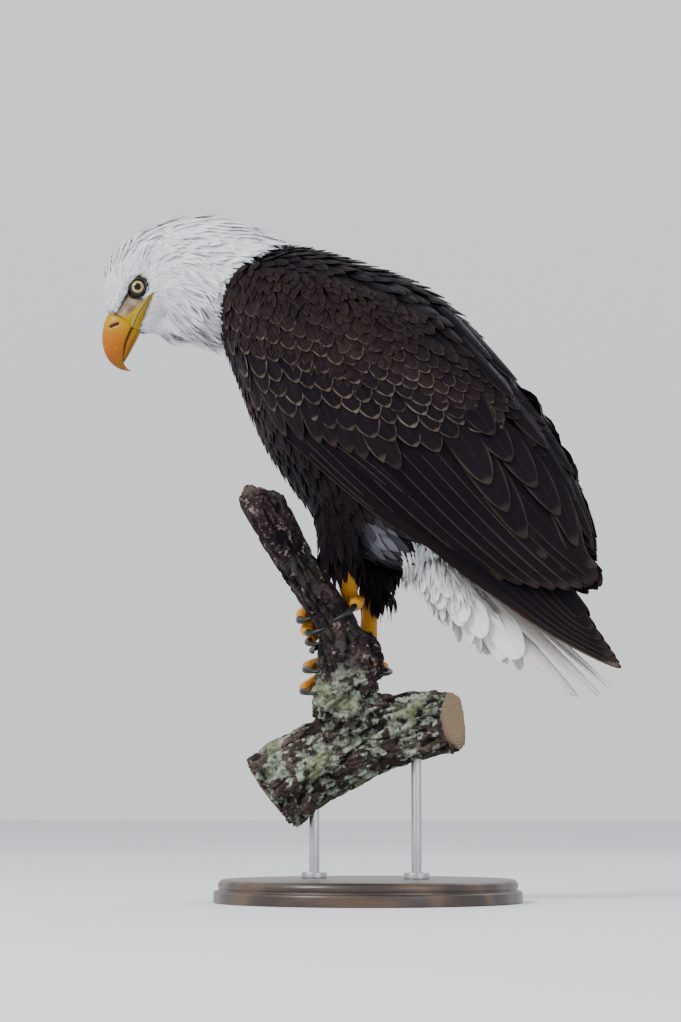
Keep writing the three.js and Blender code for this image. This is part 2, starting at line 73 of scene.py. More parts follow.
def table(rows, key):
    """The columns after the first of a table, read at any key."""
    first, *others = np.transpose(np.asarray(rows, float))
    return [np.interp(key, first, column) for column in others]


def curve(points, share):
    """Places at shares from 0 to 1 of a smooth line through the points."""
    p = np.asarray(points, float)
    last = len(p) - 1
    s = np.clip(np.atleast_1d(share), 0, 1) * last
    i = np.minimum(s.astype(int), last - 1)
    t = (s - i)[:, None]
    a, b, c, d = p[np.maximum(i - 1, 0)], p[i], p[i + 1], p[np.minimum(i + 2, last)]
    return 0.5 * (2 * b + (c - a) * t + (2 * a - 5 * b + 4 * c - d) * t**2 + (3 * b - a - 3 * c + d) * t**3)


def middle(node):
    low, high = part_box(node)
    return np.array((low + high) / 2)


# The trunk's own distances: u towards the tail, v towards the back, y to the right.
BODY_PITCH = math.radians(44.5)
TAILWARD = np.array([math.cos(BODY_PITCH), 0, -math.sin(BODY_PITCH)])
DORSAL = np.array([math.sin(BODY_PITCH), 0, math.cos(BODY_PITCH)])
RIGHTWARD = np.array([0.0, 1.0, 0.0])
BODY = (np.array([-0.1, 0.0, 0.631]), np.array([TAILWARD, DORSAL, RIGHTWARD]))

# The head's own distances: f towards the bill, c towards the crown, s to its left, from between the eyes.
HEAD_PITCH = math.radians(66)
EYES = {side: middle(f"eye_{name}") for side, name in SIDES.items()}
EYE_MIDDLE = (EYES[LEFT] + EYES[RIGHT]) / 2
HEAD_LEFT = unit(EYES[LEFT] - EYES[RIGHT])
FACING = unit(np.cross([0, 0, -1], HEAD_LEFT))
FORWARD = FACING * math.cos(HEAD_PITCH) - np.array([0, 0, math.sin(HEAD_PITCH)])
CROWNWARD = FACING * math.sin(HEAD_PITCH) + np.array([0, 0, math.cos(HEAD_PITCH)])
NECKWARD = unit([0.969, 0.14, -0.204])
EYE_AHEAD = 0.0008
HEAD_ORIGIN = EYE_MIDDLE - FORWARD * EYE_AHEAD
HEAD = (HEAD_ORIGIN, np.array([FORWARD, CROWNWARD, HEAD_LEFT]))


def to_local(axes, places):
    """Three arrays: the distances of places along BODY's or HEAD's axes."""
    return ((np.asarray(places) - axes[0]) @ axes[1].T).T


def from_local(axes, *distances):
    return axes[0] + np.stack(np.broadcast_arrays(*distances), -1) @ axes[1]


# ---------------------------------------------------------------- selecting, joining and editing
def clear_selection():
    if bpy.context.object and bpy.context.object.mode != "OBJECT":
        bpy.ops.object.mode_set(mode="OBJECT")
    bpy.ops.object.select_all(action="DESELECT")


def select(*objects):
    clear_selection()
    for o in objects:
        o.select_set(True)
    bpy.context.view_layer.objects.active = objects[0]


def add_object(name, data):
    made = bpy.data.objects.new(name, data)
    bpy.context.scene.collection.objects.link(made)
    return made


def join(name, *things):
    select(*things)
    if len(things) > 1:
        bpy.ops.object.join()
    made = bpy.context.object
    made.name = made.data.name = name
    return made


def edit(thing, operator, **settings):
    """Runs a mesh operator on the whole of a mesh."""
    select(thing)
    bpy.ops.object.mode_set(mode="EDIT")
    bpy.ops.mesh.select_all(action="SELECT")
    operator(**settings)
    bpy.ops.object.mode_set(mode="OBJECT")
    return thing


def modify(thing, kind, **settings):
    """Adds a modifier and applies it."""
    select(thing)
    modifier = thing.modifiers.new(kind.lower(), kind)
    for name, value in settings.items():
        setattr(modifier, name, value)
    bpy.ops.object.modifier_apply(modifier=modifier.name)


def face_outwards(thing):
    return edit(thing, bpy.ops.mesh.normals_make_consistent, inside=False)


def read(items, field, width=3, kind=np.float32):
    """One field of all the items of a mesh, as rows."""
    values = np.empty(len(items) * width, kind)
    items.foreach_get(field, values)
    return values.reshape(-1, width)


def points_of(thing):
    return read(thing.data.vertices, "co").astype(float)


def normals_of(thing):
    return read(thing.data.vertices, "normal").astype(float)


def lay_points(thing, points):
    thing.data.vertices.foreach_set("co", np.asarray(points, np.float32).ravel())
    thing.data.update()


def mark(thing, name, values):
    """Keeps one number, or a row of four, for each point of a mesh."""
    kind, field = ("FLOAT", "value") if np.ndim(values) == 1 else ("FLOAT_COLOR", "color")
    layer = thing.data.attributes.new(name, kind, "POINT")
    layer.data.foreach_set(field, np.asarray(values, np.float32).ravel())


def finish_piece(name, parts, finish, slot, *replaced):
    """Makes one piece of some parts, in the place of the CAD nodes that it replaces."""
    piece = join(name, *parts)
    piece.data.materials.clear()
    piece.data.materials.append(finish)
    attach(piece, "root")
    if replaced:
        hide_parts(*replaced)


# ---------------------------------------------------------------- shader sums
def math_node(operation, turned=False):
    """A method that adds a Math node; a turned one has its own value last."""

    def method(self, *others):
        inputs = (*others, self) if turned else (self, *others)
        return node(self.tree, "ShaderNodeMath", {"operation": operation}, *inputs)

    return method


class Value:
    """A shader socket that takes part in Python sums."""

    def __init__(self, tree, socket):
        self.tree = tree
        self.socket = socket

    __add__ = __radd__ = math_node("ADD")
    __sub__ = math_node("SUBTRACT")
    __rsub__ = math_node("SUBTRACT", turned=True)
    __mul__ = __rmul__ = math_node("MULTIPLY")
    __truediv__ = math_node("DIVIDE")
    __rtruediv__ = math_node("DIVIDE", turned=True)
    __pow__ = math_node("POWER")
    __abs__ = math_node("ABSOLUTE")
    sin = math_node("SINE")
    max = math_node("MAXIMUM")
    min = math_node("MINIMUM")

    def __neg__(self):
        return self * -1

    def step(self, low, high):
        """0 below low and 1 above high, with a soft step between; low may be the larger."""
        settings = {"interpolation_type": "SMOOTHSTEP"}
        if low > high:
            return 1 - node(self.tree, "ShaderNodeMapRange", settings, self, high, low)
        return node(self.tree, "ShaderNodeMapRange", settings, self, low, high)


def put(tree, socket, value):
    if isinstance(value, Value):
        tree.links.new(value.socket, socket)
    elif isinstance(value, (tuple, list, np.ndarray)) and len(socket.default_value) == 4 and len(value) == 3:
        socket.default_value = (*value, 1)
    else:
        socket.default_value = value


def node(tree, kind, settings, *inputs, out=0, **named):
    """Adds a node, gives it its settings and then its inputs, in order or by name, and returns an output."""
    made = tree.nodes.new(kind)
    for name, value in settings.items():
        if name == "stops":
            elements = made.color_ramp.elements
            while len(elements) < len(value):
                elements.new(0.5)
            for element, (position, colour) in zip(elements, value):
                element.position = position
                element.color = (*colour, 1)
        else:
            setattr(made, name, value)
    for socket, value in zip(made.inputs, inputs):
        put(tree, socket, value)
    for name, value in named.items():
        put(tree, made.inputs[name.replace("_", " ")], value)
    return Value(tree, made.outputs[out])


class Paint:
    """A material with one Principled shader; constants are set on the shader's own sockets."""

    def __init__(self, name, **constants):
        self.material = bpy.data.materials.new(name)
        self.material.use_nodes = True
        self.tree = self.material.node_tree
        self.set(**constants)

    def set(self, **sockets):
        for name, value in sockets.items():
            put(self.tree, self.tree.nodes["Principled BSDF"].inputs[name.replace("_", " ")], value)

    def node(self, kind, settings=None, *inputs, **named):
        return node(self.tree, kind, settings or {}, *inputs, **named)

    def mix(self, factor, a, b):
        made = self.tree.nodes.new("ShaderNodeMix")
        made.data_type = "RGBA"
        for i, value in ((0, factor), (6, a), (7, b)):
            put(self.tree, made.inputs[i], value)
        return Value(self.tree, made.outputs[2])

    def over(self, colour, *layers):
        """A colour with others laid over it in turn, each by its own factor."""
        for factor, other in layers:
            colour = self.mix(factor, colour, other)
        return colour

    def ramp(self, value, *stops):
        return self.node("ShaderNodeValToRGB", {"stops": stops}, value)

    def place(self):
        return self.node("ShaderNodeTexCoord", out=3)

    def vector(self, operation, a, b, out=0):
        return self.node("ShaderNodeVectorMath", {"operation": operation}, a, b, out=out)

    def noise(self, scale, detail=3, place=None, **more):
        place = place or self.place()
        return self.node("ShaderNodeTexNoise", {}, Vector=place, Scale=scale, Detail=detail, **more)

    def stretched_noise(self, scale, detail, stretch, **more):
        return self.noise(scale, detail, self.vector("MULTIPLY", self.place(), stretch), **more)

    def distance(self, origin, axis):
        """How far a place lies from an origin along an axis."""
        offset = self.vector("SUBTRACT", self.place(), tuple(origin))
        return self.vector("DOT_PRODUCT", offset, tuple(axis), out=1)

    def attribute(self, name, out=0):
        return self.node("ShaderNodeAttribute", {"attribute_name": name}, out=out)

    def channels(self, name):
        """The four numbers that a mesh keeps for each point."""
        colour = self.attribute(name)
        first = [self.node("ShaderNodeSeparateColor", {}, colour, out=i) for i in range(3)]
        return *first, self.attribute(name, 3)

    def finish(self, height=None, depth=0.0, **sockets):
        """Sets what changes over the surface, with a bump of a depth, and returns the material."""
        self.set(**sockets)
        if height is not None:
            self.set(Normal=self.node("ShaderNodeBump", {}, Strength=1.0, Distance=depth, Height=height))
        return self.material


# ---------------------------------------------------------------- feathers' and skin's finishes
def vane_marks(paint, count):
    """Of a vane: the place across it (0 at the shaft, 1 at the edge) and along it, the waves of its barbs,
    the shaft, and the tuft's own tone, fringe, warmth and downiness."""
    place = paint.node("ShaderNodeUVMap", {"uv_map": "vane"})
    across, along = (paint.node("ShaderNodeSeparateXYZ", {}, place, out=i) for i in range(2))
    across = abs(across * 2 - 1)
    barbs = ((along * count - across * count * 0.32 + paint.noise(420, 2) * 1.2) * 6.283).sin() * 0.5 + 0.5
    return across, along, barbs, across.step(0.1, 0.03), *paint.channels("tuft")


def brown_paint():
    paint = Paint(
        "brown_feathers_finish", Specular_IOR_Level=0.07, Specular_Tint=(0.8, 0.72, 1.0), Sheen_Weight=0.015,
        Sheen_Roughness=0.4, Sheen_Tint=(0.6, 0.55, 1.0),
    )
    across, along, barbs, shaft, own, fringe, warmth, downy = vane_marks(paint, 26)
    whole = (-downy).max(0.0)
    edge = (across.step(0.78, 0.94) * along.step(0.45, 0.82)).max(along.step(0.915, 0.98)) * (1 - whole * 0.7)
    edge = edge.max(across.step(0.9, 0.975) * whole) * (0.25 + paint.noise(160, 3) * 1.3)
    edge = (edge * fringe).min(1.0)
    dark = paint.mix(own, (0.0022, 0.0017, 0.0028), (0.0068, 0.0048, 0.0062))
    warm = paint.mix(own, (0.01, 0.0052, 0.0044), (0.035, 0.019, 0.0145))
    colour = paint.over(
        paint.mix(warmth, dark, warm),
        (along.step(0.3, 1.0) * 0.45, paint.mix(warmth, (0.0115, 0.0085, 0.0098), (0.06, 0.036, 0.028))),
        (barbs * 0.35, (0.002, 0.0015, 0.002)),
        (shaft * 0.45, (0.016, 0.011, 0.01)),
        (edge, paint.mix(own, (0.105, 0.078, 0.058), (0.2, 0.155, 0.118))),
        (downy.max(0.0), (0.15, 0.15, 0.17)),
    )
    roughness = 0.42 + barbs * 0.14 + edge * 0.2
    return paint.finish(barbs * 0.4 + shaft, 0.00035, Base_Color=colour, Roughness=roughness)


def white_paint():
    paint = Paint("white_feathers_finish", Specular_IOR_Level=0.15, Sheen_Weight=0.1, Sheen_Roughness=0.5)
    across, along, barbs, shaft, own, fringe, warmth, downy = vane_marks(paint, 18)
    # The roots are painted a darker grey as painted shade where the tufts overlap; the tips are white.
    colour = paint.over(
        paint.mix(own, (0.48, 0.49, 0.53), (0.62, 0.63, 0.66)),
        (along.step(0.1, 0.75), paint.mix(own, (0.7, 0.715, 0.76), (0.88, 0.885, 0.9))),
        (warmth * 0.6, (0.6, 0.535, 0.44)),
        (barbs * 0.12, (0.4, 0.41, 0.45)),
        (across.step(0.7, 1.0) * fringe, (0.46, 0.455, 0.45)),
        (shaft * 0.16, (0.6, 0.56, 0.49)),
        (downy, (0.2, 0.195, 0.205)),
    )
    return paint.finish(barbs * 0.4 + shaft, 0.0002, Base_Color=colour, Roughness=0.66 + barbs * 0.12)


def skin_paint():
    """Bare skin: as white or as dark as the feathers over it, grey-buff on the lores, olive-black round the
    eye with a painted shadow under the brow's edge, and waxy yellow at the mouth."""
    paint = Paint("bare_skin_finish", Specular_IOR_Level=0.12, Roughness=0.6)
    white, lore, lid, wax = paint.channels("marking")
    fine, broad = paint.noise(900, 3), paint.noise(120, 2)
    colour = paint.over(
        paint.mix(white, (0.006, 0.0045, 0.005), (0.52, 0.52, 0.55)),
        (lore, paint.mix(broad.step(0.3, 0.7), (0.145, 0.103, 0.07), (0.33, 0.255, 0.19))),
        (fine.step(0.45, 0.75) * 0.35, (0.07, 0.055, 0.045)),
        (wax, paint.mix(broad, (0.27, 0.17, 0.004), (0.37, 0.235, 0.004))),
        # The eye's own dark skin, and with it the painted shadow under the brow's edge.
        (lid, paint.mix(broad, (0.01, 0.009, 0.006), (0.04, 0.034, 0.02))),
    )
    return paint.finish(fine + broad, 0.0004, Base_Color=colour)


BROWN = (brown_paint(), "brown_feathers")
WHITE = (white_paint(), "white_feathers")


# ---------------------------------------------------------------- camera, light and floor
SKY = ((0.0, (0.97, 0.98, 1.0)), (0.05, (0.97, 0.98, 1.0)), (0.35, (1.0, 1.02, 1.06)))
# Each lamp's name, place, size, watts and colour.
LAMPS = (
    ("key", (-2.2, -2.5, 2.6), 1.3, 150, (1.0, 0.985, 0.96)),
    ("fill", (2.4, -2.4, 1.4), 2.2, 30, (0.92, 0.95, 1.0)),
    ("rim", (1.2, 2.4, 2.6), 1.8, 22, (0.9, 0.94, 1.0)),
)
CAMERA_TARGET = np.array([-0.0316, 0.0, 0.4459])
CAMERA_AZIMUTH, CAMERA_ELEVATION = math.radians(10), math.radians(-6)
CAMERA_DISTANCE, CAMERA_LENS = 3.2, 98.0
FLOOR_SIZE = 30


def aim(thing, place, target):
    thing.location = place
    thing.rotation_euler = (Vector(target) - Vector(place)).to_track_quat("-Z", "Y").to_euler()


def floor_paint():
    paint = Paint("floor_finish", Roughness=0.85, Specular_IOR_Level=0.1)
    colour = paint.ramp(paint.noise(1.4), (0.3, (0.76, 0.77, 0.8)), (0.7, (0.8, 0.81, 0.84)))
    return paint.finish(Base_Color=colour)


def set_stage():
    level = math.cos(CAMERA_ELEVATION)
    back = np.array(
        [math.sin(CAMERA_AZIMUTH) * level, -math.cos(CAMERA_AZIMUTH) * level, math.sin(CAMERA_ELEVATION)]
    )
    lens = bpy.data.cameras.new("camera")
    lens.lens = CAMERA_LENS
    lens.clip_end = 50
    camera = add_object("camera", lens)
    aim(camera, CAMERA_TARGET + back * CAMERA_DISTANCE, CAMERA_TARGET)
    bpy.context.scene.camera = camera
    for name, place, size, watts, colour in LAMPS:
        lamp = bpy.data.lights.new(name, "AREA")
        lamp.shape = "DISK"
        lamp.size = size
        lamp.energy = watts
        lamp.color = colour
        aim(add_object(name, lamp), place, (0, 0, 0.5))

    # A pale studio sky, a little darker at the floor's level so that the two meet without a line.
    world = bpy.data.worlds.new("studio")
    world.use_nodes = True
    tree = world.node_tree
    upward = node(tree, "ShaderNodeSeparateXYZ", {}, node(tree, "ShaderNodeTexCoord", {}), out=2)
    sky = node(tree, "ShaderNodeValToRGB", {"stops": SKY}, upward)
    put(tree, tree.nodes["Background"].inputs["Color"], sky)
    bpy.context.scene.world = world

    clear_selection()
    bpy.ops.mesh.primitive_grid_add(x_subdivisions=8, y_subdivisions=8, size=FLOOR_SIZE)
    floor = bpy.context.object
    floor.name = "floor"
    floor.data.materials.append(floor_paint())


# ---------------------------------------------------------------- surfaces
def add_mesh(name, points, quads, triangles=()):
    """A smooth-shaded object from arrays of points and of corner numbers."""
    quads = np.asarray(quads, np.int32)
    triangles = np.asarray(triangles, np.int32).reshape(-1, 3)
    mesh = bpy.data.meshes.new(name)
    mesh.vertices.add(len(points))
    mesh.vertices.foreach_set("co", np.asarray(points, np.float32).ravel())
    mesh.loops.add(quads.size + triangles.size)
    mesh.loops.foreach_set("vertex_index", np.concatenate([quads.ravel(), triangles.ravel()]))
    mesh.polygons.add(len(quads) + len(triangles))
    starts = [np.arange(len(quads)) * 4, quads.size + np.arange(len(triangles)) * 3]
    mesh.polygons.foreach_set("loop_start", np.concatenate(starts).astype(np.int32))
    mesh.update(calc_edges=True)
    mesh.shade_smooth()
    return add_object(name, mesh)


def tube(count, around, closed=False):
    """Corner numbers of the quads that join rings of points, and of the fans that close both ends on two more
    points. A closed tube's last ring is joined to its first instead."""
    k, j = np.arange(count if closed else count - 1)[:, None], np.arange(around)
    after = (j + 1) % around
    row, next_row = k * around, (k + 1) % count * around
    quads = np.stack([row + j, row + after, next_row + after, next_row + j], -1).reshape(-1, 4)
    end, last = np.full(around, count * around), (count - 1) * around
    fans = np.concatenate([np.stack([end, after, j], 1), np.stack([end + 1, last + j, last + after], 1)])
    return quads, () if closed else fans


def loft(name, rings, closed=False):
    """A closed mesh through rings of points."""
    rings = np.asarray(rings, float)
    points = rings.reshape(-1, 3)
    if not closed:
        points = np.concatenate([points, rings[[0, -1]].mean(1)])
    return face_outwards(add_mesh(name, points, *tube(*rings.shape[:2], closed)))


def copy_nodes(name, nodes):
    """The merged meshes of some CAD nodes as one new object."""
    parts = [add_object(f"{name}_{n}", NODES[n].data.copy()) for n in nodes]
    for part in parts:
        part.data.materials.clear()
    return edit(join(name, *parts), bpy.ops.mesh.remove_doubles, threshold=1e-5)


def wrap(name, nodes, voxel, rounds, *lumps):
    """One smooth closed mesh round some CAD nodes, and round ellipsoids given as centre and radii."""
    made = copy_nodes(name, nodes)
    for centre, radii in lumps:
        clear_selection()
        bpy.ops.mesh.primitive_uv_sphere_add(segments=32, ring_count=16, location=centre, scale=radii)
        lump = bpy.context.object
        bpy.ops.object.transform_apply(location=True, rotation=True, scale=True)
        made = join(name, made, lump)
    modify(made, "DISPLACE", strength=0.0004, mid_level=0)
    modify(made, "REMESH", mode="VOXEL", voxel_size=voxel)
    modify(made, "SMOOTH", factor=0.5, iterations=rounds)
    made.data.shade_smooth()
    return made


class Surface:
    """A mesh that can be asked for its nearest place and its normal there."""

    TRIES = 7  # for each place that scatter can be expected to keep
    CLOSEST = 0.92  # how near two places may come, as a share of the gap

    def __init__(self, thing):
        thing.data.calc_loop_triangles()
        self.faces = read(thing.data.loop_triangles, "vertices", kind=np.int32)
        self.points = points_of(thing)
        self.normals = normals_of(thing)
        self.tree = BVHTree.FromPolygons(self.points.tolist(), self.faces.tolist())

    def normal_at(self, faces):
        return unit(self.normals[self.faces[faces]].mean(1))

    def nearest(self, places):
        hits = [self.tree.find_nearest(Vector(p)) for p in places]
        return np.array([h[0] for h in hits]), self.normal_at([h[2] for h in hits])

    def height(self, places):
        """How far places stand out of the surface."""
        at, normal = self.nearest(places)
        return ((places - at) * normal).sum(1)

    def seen_along(self, starts, way, reach, beside):
        """Where rays meet the surface; a ray that misses ends near its place beside the surface instead."""
        places = []
        for start in starts:
            at = self.tree.ray_cast(Vector(start), Vector(way), reach)[0]
            if at is None:
                at = self.tree.find_nearest(Vector(start + np.asarray(way) * beside))[0]
            places.append(at)
        return np.array(places)

    def scatter(self, gap, keep):
        """Random places where keep(places, normals) holds, a gap apart, or gap(places)."""

        def spacing(places):
            return gap(places) if callable(gap) else np.full(len(places), gap)

        corners = self.points[self.faces]
        sides = corners[:, 1] - corners[:, 0], corners[:, 2] - corners[:, 0]
        areas = np.linalg.norm(np.cross(*sides), axis=1) / 2
        centres = corners.mean(1)
        kept = keep(centres, self.normal_at(np.arange(len(centres))))
        shares = areas * kept / spacing(centres) ** 2
        tries = rng.choice(len(areas), int(shares.sum() * self.TRIES) + 1, p=shares / shares.sum())
        a, b = rng.random((2, len(tries), 1))
        flip = a + b > 1
        a, b = np.where(flip, 1 - a, a), np.where(flip, 1 - b, b)
        c = corners[tries]
        places = c[:, 0] + a * (c[:, 1] - c[:, 0]) + b * (c[:, 2] - c[:, 0])
        gaps = spacing(places) * self.CLOSEST
        cells = np.floor(places / gaps.max()).astype(int)
        boxes = {}
        for i, key in enumerate(map(tuple, cells)):
            boxes.setdefault(key, []).append(i)
        steps = (-1, 0, 1)
        around = [(dx, dy, dz) for dx in steps for dy in steps for dz in steps]
        free = np.ones(len(places), bool)
        chosen = []
        for i, (x, y, z) in enumerate(cells):
            if free[i]:
                chosen.append(i)
                near = np.array([j for dx, dy, dz in around for j in boxes.get((x + dx, y + dy, z + dz), ())])
                free[near[((places[near] - places[i]) ** 2).sum(1) < gaps[i] ** 2]] = False
        return places[chosen]


def evened(grid):
    """The mean of each cell's four neighbours."""
    padded = np.pad(grid, 1, mode="edge")
    return (padded[2:, 1:-1] + padded[:-2, 1:-1] + padded[1:-1, 2:] + padded[1:-1, :-2]) / 4


class Flank:
    """The body's outside as a height over u and v on one side, carried on smoothly past the body's edge."""

    STEP = 0.004
    LOW = np.array([-0.13, -0.13])
    COUNT = (178, 86)
    REACH = 0.4  # from beyond the bird's side to its middle
    OUTWARD = 0.3  # how squarely the body has to face the side to count
    ROUNDS = 500  # of evening out what lies past the edge
    THIN = 0.035  # the height there to begin with

    def __init__(self, surface, side):
        self.side = side
        across, upward = (low + self.STEP * np.arange(count) for low, count in zip(self.LOW, self.COUNT))
        u, v = np.meshgrid(across, upward, indexing="ij")
        starts = from_local(BODY, u.ravel(), v.ravel(), side * self.REACH)
        heights = np.full(len(starts), np.nan)
        for i, start in enumerate(starts):
            at, normal, _, _ = surface.tree.ray_cast(Vector(start), Vector((0, -side, 0)), self.REACH)
            if at is not None and normal.y * side > self.OUTWARD:
                heights[i] = at.y * side
        heights = heights.reshape(u.shape)
        known = ~np.isnan(heights)
        filled = np.where(known, heights, self.THIN)
        for _ in range(self.ROUNDS):
            filled = np.where(known, filled, evened(filled))
        for _ in range(2):
            filled = mix(filled, evened(filled), 0.5)
        self.heights = filled
        self.slopes = np.gradient(filled, self.STEP)
        top = np.where(known, upward, -1).max(1)
        seen = (top > 0.03) & (across < 0.43)
        self.ridge = (across[seen], top[seen])

    def read(self, grid, u, v):
        a, b = ((np.stack([u, v], -1) - self.LOW) / self.STEP).T
        a = np.clip(a, 0, self.COUNT[0] - 1.001)
        b = np.clip(b, 0, self.COUNT[1] - 1.001)
        i, j = a.astype(int), b.astype(int)
        a, b = a - i, b - j
        return mix(mix(grid[i, j], grid[i + 1, j], a), mix(grid[i, j + 1], grid[i + 1, j + 1], a), b)

    def at(self, u, v, margin):
        """Places and normals over u and v; v is held a margin below the back's outline."""
        v = np.minimum(v, np.interp(u, *self.ridge) - margin * fade(0.46, 0.4, u))
        places = from_local(BODY, u, v, self.side * self.read(self.heights, u, v))
        slope_u, slope_v = (self.read(grid, u, v)[..., None] for grid in self.slopes)
        return places, unit(self.side * RIGHTWARD - slope_u * TAILWARD - slope_v * DORSAL)


# ---------------------------------------------------------------- vanes
PATCH = 0.003  # of the bake's map, for one tuft


def rows(count):
    """Shares of a vane's length that close up towards its tip."""
    return np.sin(np.linspace(0, math.pi / 2 * 0.94, count))


def calm(lines, rounds=3):
    """Lines with small waves taken out along their length."""
    for _ in range(rounds):
        lines = lines.copy()
        lines[:, 1:-1] = (lines[:, :-2] + 2 * lines[:, 1:-1] + lines[:, 2:]) / 4
    return lines


def trace(surface, roots, lengths, count, heading, sway, free=1.0):
    """Lines that run over a surface from their roots, in the direction heading, or heading(places), turned by
    sway. Beyond the share free they leave the surface and go straight on."""
    shares = rows(count)
    places = roots
    centres, normals = [], []
    for share, following in zip(shares, [*shares[1:], 1]):
        if share <= free:
            places, normal = surface.nearest(places)
        centres.append(places)
        normals.append(normal)
        way = heading(places) if callable(heading) else np.broadcast_to(heading, places.shape)
        if share <= free:
            way = unit(way - (way * normal).sum(1, keepdims=True) * normal)
            way = way * np.cos(sway)[:, None] + np.cross(normal, way) * np.sin(sway)[:, None]
        else:
            way = unit(mix(level, way, 0.35))
        level = way
        places = places + way * (lengths * (following - share))[:, None]
    return np.stack(centres, 1), unit(calm(np.stack(normals, 1), 2))


def side_run(flank, tips, lengths, angles, count, bow=0.0, margin=0.0):
    """Lines over one side of the body that end at tips (u, v) and point along angles there."""
    way = np.stack([np.cos(angles), np.sin(angles)], 1)
    across = np.stack([-np.sin(angles), np.cos(angles)], 1)
    run = []
    for share in rows(count):
        back = way * (lengths * (1 - share))[:, None]
        flat = tips - back + across * (bow * 4 * share * (1 - share) * lengths)[:, None]
        run.append(flank.at(*flat.T, margin))
    centres, normals = (calm(np.stack(part, 1)) for part in zip(*run))
    return centres, unit(normals)


def bake_cells(roots, axis, patch):
    """Where each tuft's patch lies on its skin unrolled round an axis; no two tufts share a cell."""
    across = unit(np.cross(axis, [0.3, 1, 0.2]))
    offset = roots - roots.mean(0)
    flat = np.stack([offset @ axis, np.arctan2(offset @ np.cross(axis, across), offset @ across)], 1)
    flat = (flat - flat.min(0)) / np.maximum(np.ptp(flat, axis=0), 1e-6)
    pitch = patch * 1.2
    count = int(0.98 / pitch)
    reach = 40 if len(roots) < count**2 / 4 else count
    span = range(-reach, reach + 1)
    offsets = sorted(((a, b) for a in span for b in span), key=lambda o: o[0] ** 2 + o[1] ** 2)
    taken = set()
    cells = np.empty((len(roots), 2))
    for i, (a, b) in enumerate((flat * (count - 1)).round().astype(int)):
        for da, db in offsets:
            cell = (a + da, b + db)
            if cell not in taken and 0 <= min(cell) and max(cell) < count:
                break
        taken.add(cell)
        cells[i] = cell
    return (cells + 0.5) * pitch + 0.01


def vanes(
    run, half, marks, lift, axis=TAILWARD, point=1.0, root=0.35, widest=0.45, columns=5, camber=0.12,
    roll=0.0, thick=0.0005, ragged=0.0, patch=PATCH,
):
    """One object of closed vanes along the lines of run. half is each one's half-width, marks its tone,
    fringe, warmth and downiness, and lift the heights of its root and tip over its line."""
    centres, normals = run
    n, count, _ = centres.shape
    shares = rows(count)
    along = unit(np.gradient(centres, axis=1))
    side = unit(np.cross(along, normals))
    up = unit(np.cross(side, along))
    share = shares[None, :]
    grown = root + (1 - root) * np.sin(np.minimum(share / widest, 1) * math.pi / 2)
    closing = np.clip((share - widest) / (1 - widest), 0, 1)
    width = np.broadcast_to(half, n)[:, None] * grown * (1 - closing**2) ** (np.reshape(point, (-1, 1)) / 2)
    low, high = (np.broadcast_to(h, n)[:, None] for h in lift)
    height = low + (high - low) * share**0.9
    x = np.linspace(-1, 1, columns)
    cut = 1 - ragged * rng.random((n, count, 2)) * fade(0.35, 0.8, share)[..., None]
    reach = np.where(x < 0, cut[..., :1], cut[..., 1:]) * x * width[..., None]
    bend = height[..., None] - np.reshape(camber, (-1, 1, 1)) * x**2 * width[..., None]
    bend = bend + np.reshape(roll, (-1, 1, 1)) * reach
    top = bend + thick * (1 - np.abs(x)) * 0.8
    under = bend - thick * (1 - np.abs(x))
    offsets = np.concatenate([reach, reach[..., -2:0:-1]], 2)[..., None]
    heights = np.concatenate([top, under[..., -2:0:-1]], 2)[..., None]
    rings = centres[:, :, None] + side[:, :, None] * offsets + up[:, :, None] * heights
    around = rings.shape[2]
    ends = rings[:, [0, -1]].mean(2)
    ends[:, 1] += along[:, -1] * (np.linalg.norm(centres[:, -1] - centres[:, -2], axis=1) * 0.25)[:, None]
    points = np.concatenate([rings.reshape(n, -1, 3), ends], 1)
    first = np.arange(n)[:, None, None] * (count * around + 2)
    quads, fans = ((first + corners).reshape(-1, corners.shape[1]) for corners in tube(count, around))
    made = add_mesh("vanes", points.reshape(-1, 3), quads, fans)
    made.data.set_sharp_from_angle(angle=math.radians(70))

    across = (np.concatenate([x, x[-2:0:-1]]) + 1) / 2
    local = np.stack(np.broadcast_arrays(across, shares[:, None]), -1).reshape(-1, 2)
    local = np.concatenate([local, [[0.5, 0], [0.5, 1]]])
    corner = read(made.data.loops, "vertex_index", 1, np.int32).ravel()
    flat = np.tile(local, (n, 1))
    cells = np.repeat(bake_cells(centres[:, 0], axis, patch), len(local), 0) + (flat - 0.5) * patch
    for map_name, values in (("OFBake", cells), ("vane", flat)):
        layer = made.data.uv_layers.new(name=map_name)
        layer.data.foreach_set("uv", values[corner].astype(np.float32).ravel())
    mark(made, "tuft", np.repeat(marks, len(local), 0))
    return made


def numbers(count, tone=(0, 1), fringe=0.0, warmth=0.0, downy=0.0):
    """The tufts' own numbers, each with some chance in it."""
    spreads = ((1, *tone), (fringe, 0.75, 1.1), (warmth, 0.6, 1.3), (downy, 0.8, 1.1))
    return np.stack([level * rng.uniform(low, high, count) for level, low, high in spreads], 1)


# ---------------------------------------------------------------- the head's shape
# Nape, neck side and throat: where white gives way to brown, as a height and the X before which it is white.
COLLAR = (
    (0.652, -0.184), (0.691, -0.176), (0.711, -0.168), (0.727, -0.156), (0.747, -0.134), (0.775, -0.106),
)
EYE_RING = 0.0105  # bare skin round the eye
# Lumps for the full feathering of the throat and for the place where the bill is let into the face: f, c
# and s, and radii.
THROAT = ((0.02, -0.05, 0.0), (0.03, 0.015, 0.0145))
CERE_BASE = ((0.031, 0.005, 0.0), (0.013, 0.015, 0.0118))
